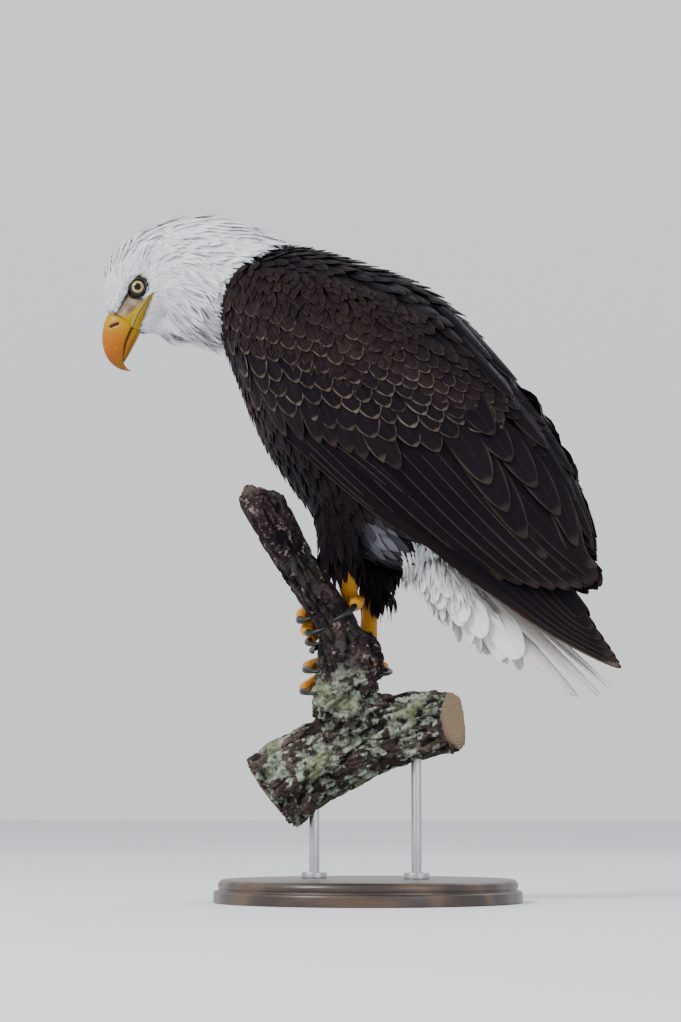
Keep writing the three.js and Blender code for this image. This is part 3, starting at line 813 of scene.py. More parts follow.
# On the head's side: the brow's edge as f and c, the cere's edge as c and f, and as f and c the lower border
# of the lores, where the waxy yellow of the mouth begins.
BROW_EDGE = (
    (-0.018, -0.004), (-0.008, 0.0095), (0.0, 0.012), (0.014, 0.0112), (0.035, 0.0135), (0.046, 0.015),
)
CERE_EDGE = (
    (-0.06, 0.055), (-0.03, 0.05), (-0.0205, 0.0445), (-0.0175, -0.0008), (-0.0135, 0.006), (-0.012, 0.015),
    (-0.008, 0.0252), (-0.004, 0.0354), (0.011, 0.0415), (0.021, 0.0426), (0.04, 0.043),
)
WAX_EDGE = (
    (-0.002, -0.019), (0.002, -0.0168), (0.013, -0.0115), (0.029, -0.004), (0.037, 0.002), (0.042, 0.01),
)


def is_white(places):
    """How white the plumage is at a place: the head and neck, and all behind the vent."""
    x, y, z = places.T
    head = fade(0.004, -0.004, x - table(COLLAR, z)[0])
    u, v, _ = to_local(BODY, places)
    rise = 0.012 * fade(0.05, 0.065, x)
    vent = fade(0.036, 0.048, x) * fade(-0.046, -0.056, v - rise) * (u > 0.2)
    vent = vent * fade(0.005, -0.005, np.abs(y) - 0.055 - np.maximum(x - 0.05, 0))
    return np.maximum(head, vent)


def face_fields(places):
    """Of places on the head: their own distances, the distance from the eye's axis, the height over the
    brow's edge, and how far they lie in front of the cere's edge."""
    f, c, s = to_local(HEAD, places)
    return f, c, s, np.hypot(f - EYE_AHEAD, c), c - table(BROW_EDGE, f)[0], f - table(CERE_EDGE, c)[0]


def face_relief(places):
    """How far the brow stands out of the head and the lores and the eye's socket lie in it."""
    f, c, s, from_eye, over_brow, in_cere = face_fields(places)
    here = fade(-0.024, -0.01, f) * fade(0.044, 0.034, f) * fade(0.01, 0.016, np.abs(s))
    brow = np.exp(-(((over_brow - 0.0038) / 0.004) ** 2)) * here
    lore = fade(0.001, -0.003, over_brow) * fade(0.006, 0.014, f) * fade(0.004, -0.006, in_cere)
    lore = lore * here * fade(-0.024, -0.014, c)
    socket = np.exp(-((from_eye / 0.0135) ** 4)) * fade(0.003, -0.001, over_brow)
    return 0.0026 * brow - 0.0032 * lore - 0.0018 * socket


def bareness(places):
    """How bare the face is: lores, eye ring and gape are, and the rest is feathered."""
    f, c, _, from_eye, over_brow, in_cere = face_fields(places)
    lore = fade(0.0012, -0.0006, over_brow) * fade(0.007, 0.012, f + 0.25 * c)
    lore = lore * fade(-0.0145, -0.0115, c)
    cere = fade(-0.0012, 0.0008, in_cere)
    ring = fade(EYE_RING + 0.001, EYE_RING - 0.0005, from_eye)
    return np.maximum.reduce([lore, cere * (c > -0.03), ring])


def on_face(places):
    """Places of the head in front of the crown's top and the cheek."""
    f, c, s = to_local(HEAD, places)
    return (f > -0.026) & (f < 0.06) & (np.abs(c) < 0.03) & (np.abs(s) < 0.045)


def by_eye(places):
    """Places round the eye, on the lores and along the mouth."""
    f, c, s = to_local(HEAD, places)
    return (f > -0.02) & (f < 0.05) & (c > -0.022) & (c < 0.02) & (np.abs(s) > 0.008) & (np.abs(s) < 0.045)


# ---------------------------------------------------------------- the skin
FLESH_BODY = ("trunk", "neck", "wing_left", "wing_right")
FLESH_HEAD = ("head", "neck")
COAT_DEPTH = {"body": 0.0065, "head": 0.0024, "thigh": 0.006, "undertail": 0.007}
BARE_DEPTH = 0.0004  # where the face has no coat


def build_shells():
    """The outlines that the coat ends at, each as an object that later becomes part of the skin."""
    lumps = ((from_local(HEAD, *place), radii) for place, radii in (THROAT, CERE_BASE))
    shells = {
        "body": wrap("body_shell", FLESH_BODY, 0.004, 24),
        "head": wrap("head_shell", FLESH_HEAD, 0.0019, 26, *lumps),
    }
    head = shells["head"]
    lay_points(head, points_of(head) + normals_of(head) * face_relief(points_of(head))[:, None])
    for name in SIDES.values():
        thigh = shells[f"thigh_{name}"] = wrap(f"thigh_shell_{name}", [f"thigh_{name}"], 0.003, 12)
        places = points_of(thigh)
        top = places[:, 2].max()
        places[:, 1] *= 1 - 0.22 * fade(top - 0.085, top - 0.045, places[:, 2])
        lay_points(thigh, places)
    shells["undertail"] = wrap("undertail_shell", ["undertail"], 0.003, 12)
    return shells


def refine(thing, chosen):
    """Splits the faces whose centres are chosen."""
    select(thing)
    bpy.ops.object.mode_set(mode="EDIT")
    bpy.ops.mesh.select_mode(type="FACE")
    bpy.ops.mesh.select_all(action="DESELECT")
    bpy.ops.object.mode_set(mode="OBJECT")
    thing.data.polygons.foreach_set("select", chosen(read(thing.data.polygons, "center")))
    bpy.ops.object.mode_set(mode="EDIT")
    bpy.ops.mesh.subdivide(number_cuts=1, smoothness=0)
    bpy.ops.object.mode_set(mode="OBJECT")


def build_skin(shells, head_surface):
    """One skin under the whole coat, fine enough on the face to hold its folds."""
    for name, shell in shells.items():
        kind = name.split("_")[0]
        places = points_of(shell)
        depth = np.full(len(places), COAT_DEPTH[kind])
        if kind == "head":
            depth = mix(depth, BARE_DEPTH, bareness(places))
        lay_points(shell, places - normals_of(shell) * depth[:, None])
        modify(shell, "SMOOTH", factor=0.5, iterations=3)
    skin = join("skin", *shells.values())
    modify(skin, "REMESH", mode="VOXEL", voxel_size=0.0032)
    modify(skin, "SMOOTH", factor=0.5, iterations=4)
    refine(skin, on_face)
    refine(skin, by_eye)
    places = points_of(skin)
    chosen = np.flatnonzero(on_face(places))
    at, normal = head_surface.nearest(places[chosen])
    face_level = at - normal * mix(COAT_DEPTH["head"], BARE_DEPTH, bareness(at))[:, None]
    f, c, _ = to_local(HEAD, places[chosen])
    hold = fade(-0.026, -0.018, f) * fade(0.03, 0.025, np.abs(c))
    hold = hold * fade(0.01, 0.004, np.linalg.norm(at - places[chosen], axis=1))
    places[chosen] = mix(places[chosen], face_level, hold[:, None])
    lay_points(skin, places)
    modify(skin, "SMOOTH", factor=0.5, iterations=1)

    places = points_of(skin)
    f, c, s, _, over_brow, _ = face_fields(places)
    face = on_face(places)
    # A painted shadow in a band under the brow's edge, running from the eye forward to the cere.
    fading = mix(-0.0058, -0.0026, fade(0.008, 0.036, f))
    brow_shadow = fade(fading - 0.0012, fading + 0.0012, over_brow) * fade(0.0045, 0.0025, over_brow)
    brow_shadow = brow_shadow * fade(-0.012, 0.0, f) * fade(0.046, 0.03, f)
    socket = fade(0.0128, 0.0114, np.hypot(f + 0.0026, c - 0.0008))
    wax = fade(0.0004, -0.0008, c - table(WAX_EDGE, f)[0]) * (f > -0.002) * fade(-0.021, -0.018, c)
    # The lid channel holds the dark skin round the eye and the painted shadow under the brow.
    lids = np.maximum(brow_shadow * 0.9, socket) * face
    marking = (is_white(places), bareness(places) * face, lids, wax * face * (np.abs(s) > 0.006))
    mark(skin, "marking", np.stack(marking, 1))
    skin.data.shade_smooth()
    replaced = (*FLESH_BODY, "head", "undertail", "thigh_left", "thigh_right")
    finish_piece("skin", [skin], skin_paint(), "brown_feathers", *replaced)


# ---------------------------------------------------------------- the head's coat
LANCES_IN_BUNCH, BUNCH_GAP = 5, 0.0078
FACE_END = -0.03  # f where the fine tufts of the face give way to the neck's
CLUMP = 0.0062  # the size of the head's feathers that stand or bend together
# How far the tufts' lie turns from the neck's line at heights over the eye, and their spacing along the head.
FACE_TURN = ((-0.05, 100), (-0.045, 92), (-0.03, 58), (-0.01, 20), (0.006, 3), (0.045, 0))
HEAD_GAP = ((-0.2, 0.0044), (-0.075, 0.0038), (-0.035, 0.0027), (-0.012, 0.0021), (0.05, 0.0016))
# Loose lances of the crown and of the throat: the way they face, 1 for above or -1 for below the eye, how far
# from it and behind which f they begin, how squarely they face that way, length, and rise of the tip.
LANCES = (
    ((-0.5, 0, 0.85), 1, 0.024, 0.016, 0.6, 0.019, 0.0085),
    ((0.15, 0, -1), -1, 0.042, 0.044, 0.45, 0.021, 0.015),
)


def head_heading(places):
    """From the bill back over crown and cheek, and then along the neck."""
    f, c, _ = to_local(HEAD, places)
    turn = np.radians(table(FACE_TURN, c)[0])[:, None]
    face = -np.cos(turn) * FORWARD - np.sin(turn) * CROWNWARD
    sag = fade(0.0, -0.05, ((places - middle("neck")) @ CROWNWARD))[:, None]
    neck = unit(NECKWARD + 0.55 * sag * np.array([0, 0, -1.0]))
    return unit(mix(face, neck, fade(-0.022, -0.075, f)[:, None]))


def head_spacing(places):
    return table(HEAD_GAP, to_local(HEAD, places)[0])[0]


def build_head_coat(head, body):
    """Fine tufts on the face, longer ones on the crown and lance-shaped hackles down the neck and throat."""

    def of_head(places, normals):
        at_bill = to_local(HEAD, places)[0] > 0.044
        return (bareness(places) < 0.4) & (is_white(places) > 0.5) & ~at_bill & (body.height(places) > -0.004)

    def of_body(places, normals):
        near = (is_white(places) > 0.5) & (places[:, 0] < -0.12)
        near[near] &= head.height(places[near]) > -0.004
        return near

    groups = []
    for surface, kept in ((head, of_head), (body, of_body)):
        roots = surface.scatter(head_spacing, kept)
        f, _, s = to_local(HEAD, roots)
        if surface is head:
            groups.append((surface, roots[f > FACE_END], 3, 5))
        groups += [(surface, roots[(f <= FACE_END) & half], 5, 7) for half in (s > 0, s <= 0)]
    made = []
    for surface, here, columns, count in groups:
        n = len(here)
        f, c, _ = to_local(HEAD, here)
        size = head_spacing(here)
        crown = fade(0.015, 0.032, c) * fade(0.0, -0.03, f)
        throat = fade(-0.032, -0.044, c) * fade(-0.05, -0.02, f)
        spiky = np.maximum(crown, throat)
        length = size * rng.uniform(4.4, 7.0, n) + 0.0025 + 0.006 * spiky
        _, clump = np.unique(np.floor(here / CLUMP).astype(int), axis=0, return_inverse=True)
        clump = clump.ravel()
        raised, bent = rng.random(clump.max() + 1)[clump], rng.normal(0, 1, clump.max() + 1)[clump]
        loose = np.maximum(fade(0.02, -0.02, f), throat)
        ruffled = fade(0.75 - 0.45 * spiky, 0.95 - 0.25 * spiky, raised) * loose
        collar = fade(0.35, 1.0, 1 - is_white(here + 0.012 * NECKWARD))
        tip = 0.0002 + size * rng.uniform(0.0, 0.2, n)
        tip = tip + ruffled * rng.uniform(0.15, 1.0, n) * mix(0.0075, 0.014, throat) + 0.002 * collar
        length = length * (1 + 0.65 * ruffled + 0.4 * collar)
        sway = rng.normal(0, 0.08, n) + bent * mix(0.07, 0.2, spiky) * loose
        run = trace(surface, here, length, count, head_heading, sway)
        made.append(
            vanes(
                run, size * rng.uniform(0.6, 0.88, n), numbers(n), (-0.4 * size, tip), NECKWARD,
                point=rng.uniform(1.5, 2.4, n), root=0.4, widest=0.38, columns=columns, camber=0.18,
                roll=rng.normal(0, 0.07, n), thick=0.00022,
            )
        )
    face, head_left, head_right, body_left, body_right = made
    finish_piece("coat_face", [face], *WHITE)
    finish_piece("coat_neck_left", [head_left, body_left], *WHITE)
    finish_piece("coat_neck_right", [head_right, body_right], *WHITE)


def build_head_spikes(head, body):
    """Loose lances in small bunches that break the outline of the crown, nape and throat."""
    parts = []
    for way, up, beyond, front, facing, length, rise in LANCES:

        def loose(places, normals):
            f, c, _ = to_local(HEAD, places)
            bare = (is_white(places + 0.01 * NECKWARD) < 0.5) | (up * c < beyond) | (f > front)
            return (normals @ unit(way) > facing) & (body.height(places) > 0) & ~bare

        spots = head.scatter(BUNCH_GAP, loose)
        here = np.repeat(spots, LANCES_IN_BUNCH, 0)
        n = len(here)
        here = here + rng.normal(0, 0.0011, (n, 3))
        lean = np.repeat(rng.normal(0, 0.2, len(spots)), LANCES_IN_BUNCH) + rng.normal(0, 0.05, n)
        raised = np.repeat(rng.uniform(0.15, 1.0, len(spots)), LANCES_IN_BUNCH)
        tip = rise * raised * rng.uniform(0.8, 1.1, n)
        run = trace(head, here, length * rng.uniform(0.75, 1.15, n), 7, head_heading, lean)
        parts.append(
            vanes(
                run, rng.uniform(0.0011, 0.0018, n), numbers(n), (-0.001, tip), NECKWARD, point=2.3, root=0.5,
                columns=3, thick=0.0003,
            )
        )
    finish_piece("head_spikes", parts, *WHITE)


# ---------------------------------------------------------------- body and wings
# The folded wing seen from the side: u, lower edge, and the mantle's edge over it.
WING = (
    (-0.084, -0.01, 0.048), (-0.05, -0.026, 0.068), (0.0, -0.052, 0.104), (0.06, -0.072, 0.132),
    (0.12, -0.076, 0.142), (0.18, -0.075, 0.138), (0.244, -0.06, 0.132), (0.32, -0.03, 0.11),
    (0.38, 0.004, 0.085), (0.45, 0.046, 0.065),
)
# The coverts' rows, each as: height at u 0.1, climb, gap along the row, length, half-width, fringe, warmth,
# and the first and last u.
COVERT_ROWS = (
    (0.106, 0.28, 0.015, 0.03, 0.0095, 0.35, 0.2, 0.11, 0.25),
    (0.091, 0.31, 0.015, 0.032, 0.0098, 0.45, 0.25, 0.08, 0.255),
    (0.075, 0.35, 0.016, 0.034, 0.0104, 0.6, 0.35, 0.04, 0.255),
    (0.058, 0.38, 0.018, 0.036, 0.0115, 0.75, 0.45, -0.08, 0.255),
    (0.043, 0.45, 0.019, 0.04, 0.0122, 0.9, 0.3, -0.08, 0.255),
    (0.026, 0.51, 0.02, 0.044, 0.013, 1.0, 0.12, -0.08, 0.258),
    (0.008, 0.56, 0.021, 0.048, 0.0138, 1.0, 0.05, -0.08, 0.258),
    (-0.012, 0.58, 0.022, 0.052, 0.0146, 1.0, 0.03, -0.08, 0.252),
    (-0.033, 0.56, 0.024, 0.058, 0.0155, 0.7, 0.05, -0.08, 0.238),
    (-0.058, 0.53, 0.02, 0.1, 0.015, 0.4, 0.1, 0.086, 0.218),
)
LESSER_EDGE = (0.058, 0.38)
BACK_EDGE = 0.045  # v over which feathers are the back's, and under it the breast's and flanks'
BODY_GAP = ((-0.14, 0.007), (-0.1, 0.0085), (-0.04, 0.0115), (0.05, 0.014), (0.3, 0.016))


def pale_down(places):
    """The soft grey-white patch between the thighs and the vent."""
    x, _, z = places.T
    return np.exp(-((((x - 0.01) / 0.018) ** 2 + ((z - 0.414) / 0.02) ** 2) ** 1.5))


def body_heading(places):
    """Along the trunk, drawn a little down on the flanks and more on the breast's front."""
    u, v, y = to_local(BODY, places)
    flank = fade(0.02, -0.05, v) * fade(0.03, 0.09, np.abs(y))
    front = fade(-0.02, -0.09, u) * fade(0.07, 0.01, v)
    return unit((1 - 0.5 * front)[:, None] * TAILWARD - (0.25 * flank + 0.9 * front)[:, None] * DORSAL)


def build_coverts(flank):
    """Scalloped rows over the folded wing, from the wrist to the long greater coverts."""
    found = []
    for index, (height, climb, gap, *kind, first, last) in enumerate(COVERT_ROWS):
        u = np.arange(first, last, gap * 0.875) + (index % 2) * gap * 0.44
        v = height + climb * (u - 0.1)
        low, mantle = table(WING, u)
        inside = (v > low - 0.003) & (v < mantle + 0.012) & (v < 0.142)
        found += [(*tip, *kind) for tip in zip(u[inside], v[inside])]
    u, v, length, half, fringe, warmth = np.array(found).T
    n = len(u)
    tips = np.stack([u, v], 1) + rng.normal(0, 0.0014, (n, 2))
    u, v = tips.T
    down = mix(-21, -4, fade(0.12, 0.3, u) * 0.5 + fade(0.05, 0.13, v) * 0.5)
    angles = np.radians(down) + rng.normal(0, 0.06, n)
    run = side_run(flank, tips, length * rng.uniform(0.95, 1.05, n), angles, 11)
    marks = numbers(n, (0, 0.8), fringe * rng.uniform(0.35, 1.1, n), warmth)
    lift = (-0.0035, 0.0016 + rng.uniform(-0.0002, 0.0007, n))
    made = vanes(
        run, half * rng.uniform(0.95, 1.08, n), marks, lift, point=rng.uniform(0.95, 1.35, n), root=0.5,
        widest=0.42, columns=7, camber=0.1, roll=-0.05 * flank.side, thick=0.0006, ragged=0.05,
    )
    finish_piece(f"coverts_{SIDES[flank.side]}", [made], *BROWN)


def on_wing(places, normals):
    """Whether places are on a folded wing's outside, under its mantle's edge."""
    u, v, y = to_local(BODY, places)
    low, mantle = table(WING, u)
    outward = normals[:, 1] * np.sign(y) > 0.15
    edge = low + mix(0.01, 0.014, fade(0.1, 0.2, u))
    return outward & (v > edge) & (v < mantle) & (u > -0.095) & (u < 0.45)


def build_contour(body, head):
    """The breast, flanks, mantle and back, and the small coverts at the wing's bend."""

    def body_gap(places):
        u, v, _ = to_local(BODY, places)
        return table(BODY_GAP, u)[0] * mix(0.68, 1, fade(-0.055, 0.0, v - 0.03 * fade(0.02, 0.1, u)))

    def open_body(places, normals):
        u, v, _ = to_local(BODY, places)
        clear = is_white(places + 0.022 * TAILWARD) < 0.5
        kept = clear & ~on_wing(places, normals) & (u < mix(0.44, 0.385, v > BACK_EDGE))
        near = kept & (places[:, 0] < -0.08)
        kept[near] = (head.height(places[near]) > -0.001) & (is_white(places[near] - 0.005 * NECKWARD) < 0.5)
        return kept

    def open_lesser(places, normals):
        u, v, _ = to_local(BODY, places)
        above = v > LESSER_EDGE[0] + LESSER_EDGE[1] * (u - 0.1) - 0.022
        return on_wing(places, normals) & above & (u < 0.11) & (is_white(places - 0.006 * NECKWARD) < 0.5)

    roots = body.scatter(body_gap, open_body)
    back = to_local(BODY, roots)[1] > BACK_EDGE
    for name, here in (("coat_back", roots[back]), ("coat_breast", roots[~back])):
        n = len(here)
        u, v, y = to_local(BODY, here)
        size = body_gap(here)
        run = trace(body, here, size * rng.uniform(2.9, 3.6, n), 9, body_heading, rng.normal(0, 0.1, n))
        pinkish = fade(-0.03, -0.085, v) * fade(0.09, 0.01, u)
        ridge = fade(0.05, 0.2, u) * fade(0.06, 0.02, np.abs(y)) * (name == "coat_back")
        marks = numbers(n, (0, 0.9), 0.14 + 0.45 * pinkish, 0.1 + 0.85 * pinkish)
        marks[:, 3] = pale_down(here)
        lift = (-size * 0.62, 0.0004 + size * rng.uniform(0.0, 0.1, n))
        made = vanes(
            run, size * rng.uniform(0.62, 0.8, n), marks, lift, point=rng.uniform(1.1, 1.9, n), root=0.45,
            camber=0.16 + 0.2 * ridge, roll=rng.normal(0, 0.06, n), ragged=0.08,
        )
        finish_piece(name, [made], *BROWN)

    roots = body.scatter(0.0066, open_lesser)
    n = len(roots)
    drawn_down = unit(TAILWARD - 0.55 * DORSAL)
    run = trace(body, roots, rng.uniform(0.02, 0.027, n), 8, drawn_down, rng.normal(0, 0.16, n))
    marks = numbers(n, fringe=0.3, warmth=0.48)
    lift = (-0.003, 0.0012 + rng.uniform(0, 0.0014, n))
    made = vanes(
        run, rng.uniform(0.0042, 0.0056, n), marks, lift, point=rng.uniform(1.2, 2.2, n), root=0.45,
        camber=0.16, roll=rng.normal(0, 0.08, n), thick=0.0004, ragged=0.12,
    )
    finish_piece("lesser_coverts", [made], *BROWN)


# ---------------------------------------------------------------- long feathers
# How far the primaries lie from the middle plane, along u.
PRIMARY_ASIDE = ((0.2, 0.072), (0.262, 0.069), (0.325, 0.057), (0.395, 0.042), (0.45, 0.031), (0.534, 0.02))
PRIMARY_LEAN = math.radians(28)
PRIMARIES = 7
TAIL_PAIRS = 6
TAIL_TIERS = ((0.541, -0.013), (0.539, -0.026), (0.522, -0.045))  # the tips' u and v, two pairs to a tier
SECONDARY_TIPS = ((0.296, -0.037), (0.352, -0.022), (0.404, 0.007), (0.438, 0.035), (0.452, 0.06))
# Tertials: the tip's u and v, length, half-width, degrees up from the trunk's line, and step.
TERTIALS = (
    (0.452, 0.061, 0.2, 0.019, -11, 0.0028), (0.438, 0.051, 0.2, 0.02, -12, 0.0036),
    (0.42, 0.043, 0.2, 0.0205, -12, 0.0044), (0.396, 0.04, 0.19, 0.0205, -13, 0.0052),
    (0.366, 0.041, 0.17, 0.0205, -13, 0.0058), (0.332, 0.048, 0.145, 0.0205, -14, 0.0063),
    (0.298, 0.056, 0.12, 0.02, -14, 0.0066), (0.438, 0.078, 0.185, 0.019, -15, 0.0064),
    (0.408, 0.08, 0.165, 0.0195, -15, 0.0072), (0.372, 0.082, 0.14, 0.0195, -14, 0.0077),
    (0.334, 0.086, 0.115, 0.019, -14, 0.008), (0.296, 0.088, 0.095, 0.0185, -13, 0.0076),
    (0.262, 0.096, 0.08, 0.0175, -12, 0.007),
)
# Scapulars along the back's ridge: the root's u, distance from the middle plane, length and half-width.
SCAPULARS = (
    (0.11, 0.05, 0.085, 0.015), (0.135, 0.028, 0.095, 0.0155), (0.155, 0.06, 0.09, 0.015),
    (0.18, 0.04, 0.11, 0.016), (0.19, 0.014, 0.11, 0.016), (0.205, 0.06, 0.11, 0.0155),
    (0.228, 0.034, 0.125, 0.016), (0.25, 0.054, 0.13, 0.0155), (0.262, 0.016, 0.13, 0.016),
    (0.285, 0.038, 0.135, 0.016), (0.3, 0.056, 0.13, 0.015), (0.315, 0.014, 0.12, 0.015),
)
UNDERTAIL_GAP = ((0.26, 0.0075), (0.3, 0.0105), (0.34, 0.015), (0.38, 0.0185), (0.45, 0.0185))


def build_secondaries(flank):
    """The secondaries' lower edges, one under the next, and the broad tertials over them."""
    name, side = SIDES[flank.side], flank.side
    share = np.linspace(0, 1, 12)
    tips = curve(SECONDARY_TIPS, share)
    angles = np.radians(mix(5.5, -5, share))
    run = side_run(flank, tips, mix(0.24, 0.215, share), angles, 22, bow=0.01, margin=0.02)
    marks = numbers(len(tips), (0, 0.5), fringe=0.34, warmth=0.1)
    marks[:, 3] = mix(-1.0, -0.6, share)
    made = vanes(
        run, 0.0175, marks, (-0.0045, mix(0.0, 0.0034, share) + 0.003), point=1.1, root=0.7, widest=0.5,
        columns=9, camber=0.03, roll=-0.11 * side, thick=0.0008, patch=0.05,
    )
    finish_piece(f"secondaries_{name}", [made], *BROWN)

    u, v, length, half, up, step = np.array(TERTIALS).T
    run = side_run(flank, np.stack([u, v], 1), length, np.radians(up), 20, bow=0.03, margin=0.022)
    marks = numbers(len(TERTIALS), (0.0, 0.6), fringe=0.22, warmth=0.05)
    made = vanes(
        run, half, marks, (-0.0075, step + 0.0004), point=1.2, root=0.5, widest=0.5, columns=9, camber=0.1,
        roll=-0.03 * side, thick=0.0008, patch=0.05,
    )
    finish_piece(f"tertials_{name}", [made], *BROWN)


def build_scapulars(body):
    """Long feathers that lie along the back's ridge and end in steps down the rump."""
    u, aside, length, half = np.array([row for row in SCAPULARS for _ in SIDES]).T
    n = len(u)
    sides = np.array([*SIDES] * len(SCAPULARS))
    roots = body.seen_along(from_local(BODY, u, 0.3, sides * aside), -DORSAL, 0.5, 0.16)
    run = trace(body, roots, length, 16, TAILWARD, sides * rng.uniform(-0.02, 0.1, n))
    marks = numbers(n, (0.0, 0.6), fringe=0.18, warmth=0.06)
    step = 0.003 + 0.003 * rng.random(n)
    made = vanes(
        run, half, marks, (step - 0.0065, step), point=rng.uniform(1.2, 1.7, n), root=0.5, widest=0.5,
        columns=9, camber=mix(0.48, 0.28, fade(0.014, 0.054, aside)), thick=0.0008, patch=0.03,
    )
    finish_piece("scapulars", [made], *BROWN)


def build_primaries(side):
    """The blades beyond the secondaries, the longest lowest."""
    name = SIDES[side]
    lean = unit(side * math.cos(PRIMARY_LEAN) * RIGHTWARD + math.sin(PRIMARY_LEAN) * DORSAL)
    centres = []
    for order in range(PRIMARIES):
        line = [
            (0.205 + 0.004 * order, -0.045 + 0.008 * order), (0.29, -0.0315 + 0.0095 * order),
            (0.37, -0.0205 + 0.0086 * order), (0.45, -0.01 + 0.0058 * order),
            (0.534 - 0.004 * order - 0.0012 * order**2, 0.01 + 0.002 * order),
        ]
        u, v = curve(line, rows(26)).T
        aside = table(PRIMARY_ASIDE, u)[0] + 0.0009 * (order - 3) + 0.001
        aside -= (v - 0.01) * math.tan(PRIMARY_LEAN)
        centres.append(from_local(BODY, u, v, side * aside))
    marks = numbers(PRIMARIES, (0, 0.3), fringe=0.22, warmth=0.05)
    marks[0, 1:3] = 0.9, 0.5
    made = vanes(
        (np.array(centres), np.broadcast_to(lean, (PRIMARIES, 26, 3))), 0.0135, marks, (0.0, 0.0), point=1.1,
        root=0.6, columns=7, camber=0.04, roll=-0.04 * side, thick=0.0009, ragged=0.02, patch=0.06,
    )
    finish_piece(f"long_primaries_{name}", [made], *BROWN, f"primaries_{name}")


def build_tail():
    """White tail feathers like a low roof: the middle pair on top, the outer ones lower and shorter."""
    shares = rows(26)
    centres, normals = [], []
    for order in range(TAIL_PAIRS):
        for side in SIDES:
            spread = order / (TAIL_PAIRS - 1)
            tier, inner = divmod(order, 2)
            reach, fall = TAIL_TIERS[tier]
            u = mix(0.262, reach - 0.004 * inner + 0.003 * rng.random(), shares)
            v = mix(-0.02 - 0.006 * spread, fall - 0.003 * inner, shares)
            v = v - 0.006 * tier * shares * (1 - shares)
            aside = side * (mix(0.004, 0.012, spread) + mix(0.002, 0.018, spread) * shares)
            tilt = math.radians(16 + 34 * spread)
            normal = math.cos(tilt) * DORSAL + side * math.sin(tilt) * RIGHTWARD
            centres.append(from_local(BODY, u, v, aside) - normal * 0.001 * order)
            normals.append(np.broadcast_to(normal, (26, 3)))
    n = len(centres)
    marks = numbers(n, (0.1, 0.7), fringe=0.75, warmth=0.85)
    made = vanes(
        (np.array(centres), np.array(normals)), 0.011, marks, (0.0, 0.0), point=rng.uniform(1.0, 1.4, n),
        root=0.55, widest=0.5, columns=9, camber=0.05, thick=0.0009, ragged=0.1, patch=0.06,
    )
    finish_piece("tail_feathers", [made], *WHITE, "tail")


def build_undertail(under, body):
    """Loose white coverts under the tail, broader towards its end, and the down round the vent."""

    def heading(places):
        return unit(TAILWARD - (0.45 + 0.4 * fade(0.4, 0.27, to_local(BODY, places)[0]))[:, None] * DORSAL)

    def gap(places):
        return table(UNDERTAIL_GAP, to_local(BODY, places)[0])[0]

    def outside(places, normals):
        u, v, _ = to_local(BODY, places)
        return (body.height(places) > -0.001) & (v < -0.026) & (u < 0.387)

    def at_vent(places, normals):
        return (is_white(places) > 0.4) & (places[:, 0] > 0)

    def loose_down(places, normals):
        u, _, y = to_local(BODY, places)
        return outside(places, normals) & (u < 0.345) & (np.abs(y) < 0.052)

    roots = under.scatter(gap, outside)
    n = len(roots)
    size = gap(roots)
    run = trace(under, roots, size * rng.uniform(3.6, 4.6, n), 12, heading, rng.normal(0, 0.12, n), free=0.4)
    hang = fade(-0.045, -0.07, to_local(BODY, roots)[1])
    lift = (-0.6 * size, 0.0008 + hang * size * rng.uniform(0.0, 0.45, n))
    marks = numbers(n, (0.1, 1), fringe=0.22, warmth=0.45)
    made = vanes(
        run, size * rng.uniform(0.82, 1.02, n), marks, lift, point=rng.uniform(0.75, 1.1, n), root=0.4,
        widest=0.6, columns=7, roll=rng.normal(0, 0.1, n), ragged=0.1,
    )
    finish_piece("undertail_coverts", [made], *WHITE)

    parts = []
    for ground, chosen, shortest, longest in ((body, at_vent, 0.024, 0.042), (under, loose_down, 0.02, 0.04)):
        roots = ground.scatter(0.0046, chosen)
        n = len(roots)
        lengths = rng.uniform(shortest, longest, n)
        run = trace(ground, roots, lengths, 12, heading, rng.normal(0, 0.28, n), free=0.4)
        marks = numbers(n, (0, 0.8), warmth=0.3)
        marks[:, 3] = 0.4 * fade(0.285, 0.255, to_local(BODY, roots)[0])
        parts.append(
            vanes(
                run, rng.uniform(0.0012, 0.0026, n), marks, (-0.003, rng.uniform(0.0005, 0.0065, n)),
                point=2.4, root=0.5, columns=3, thick=0.0004, ragged=0.25,
            )
        )
    finish_piece("vent_down", parts, *WHITE)


def build_thigh(side, thigh, body):
    """Soft feathers that hang round a thigh and end loosely over the bare shank."""
    name = SIDES[side]
    low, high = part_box(f"thigh_{name}")
    foot_low, foot_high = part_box(f"foot_{name}")
    knee = np.array([(low.x + high.x) / 2 + 0.012, (low.y + high.y) / 2 + side * 0.008, high.z])
    shank = np.array([foot_high.x, (foot_low.y + foot_high.y) / 2, low.z])
    down = unit(shank - knee) * np.array([0.6, 0.6, 1])
    roots = thigh.scatter(0.0062, lambda places, normals: body.height(places) > -0.012)
    n = len(roots)
    lowest = fade(low.z + 0.045, low.z + 0.01, roots[:, 2])
    lengths = rng.uniform(0.028, 0.044, n) + 0.01 * lowest
    run = trace(thigh, roots, lengths, 9, down, rng.normal(0, 0.18, n), free=0.35)
    marks = numbers(n, (0, 0.9), fringe=0.1, warmth=0.12)
    lift = (-0.004, rng.uniform(-0.001, 0.003, n) * (1 - 0.6 * lowest))
    made = vanes(
        run, rng.uniform(0.0038, 0.0056, n), marks, lift, down, point=rng.uniform(1.4, 2.4, n), root=0.45,
        camber=0.16, roll=rng.normal(0, 0.08, n), thick=0.0004, ragged=0.18,
    )
    finish_piece(f"coat_thigh_{name}", [made], *BROWN)


# ---------------------------------------------------------------- eyes and lids
EYE_RADIUS = 0.0113
CORNEA = (0.0075, 0.0007)  # radius and how far it bulges
IRIS, PUPIL = 0.0078, 0.004


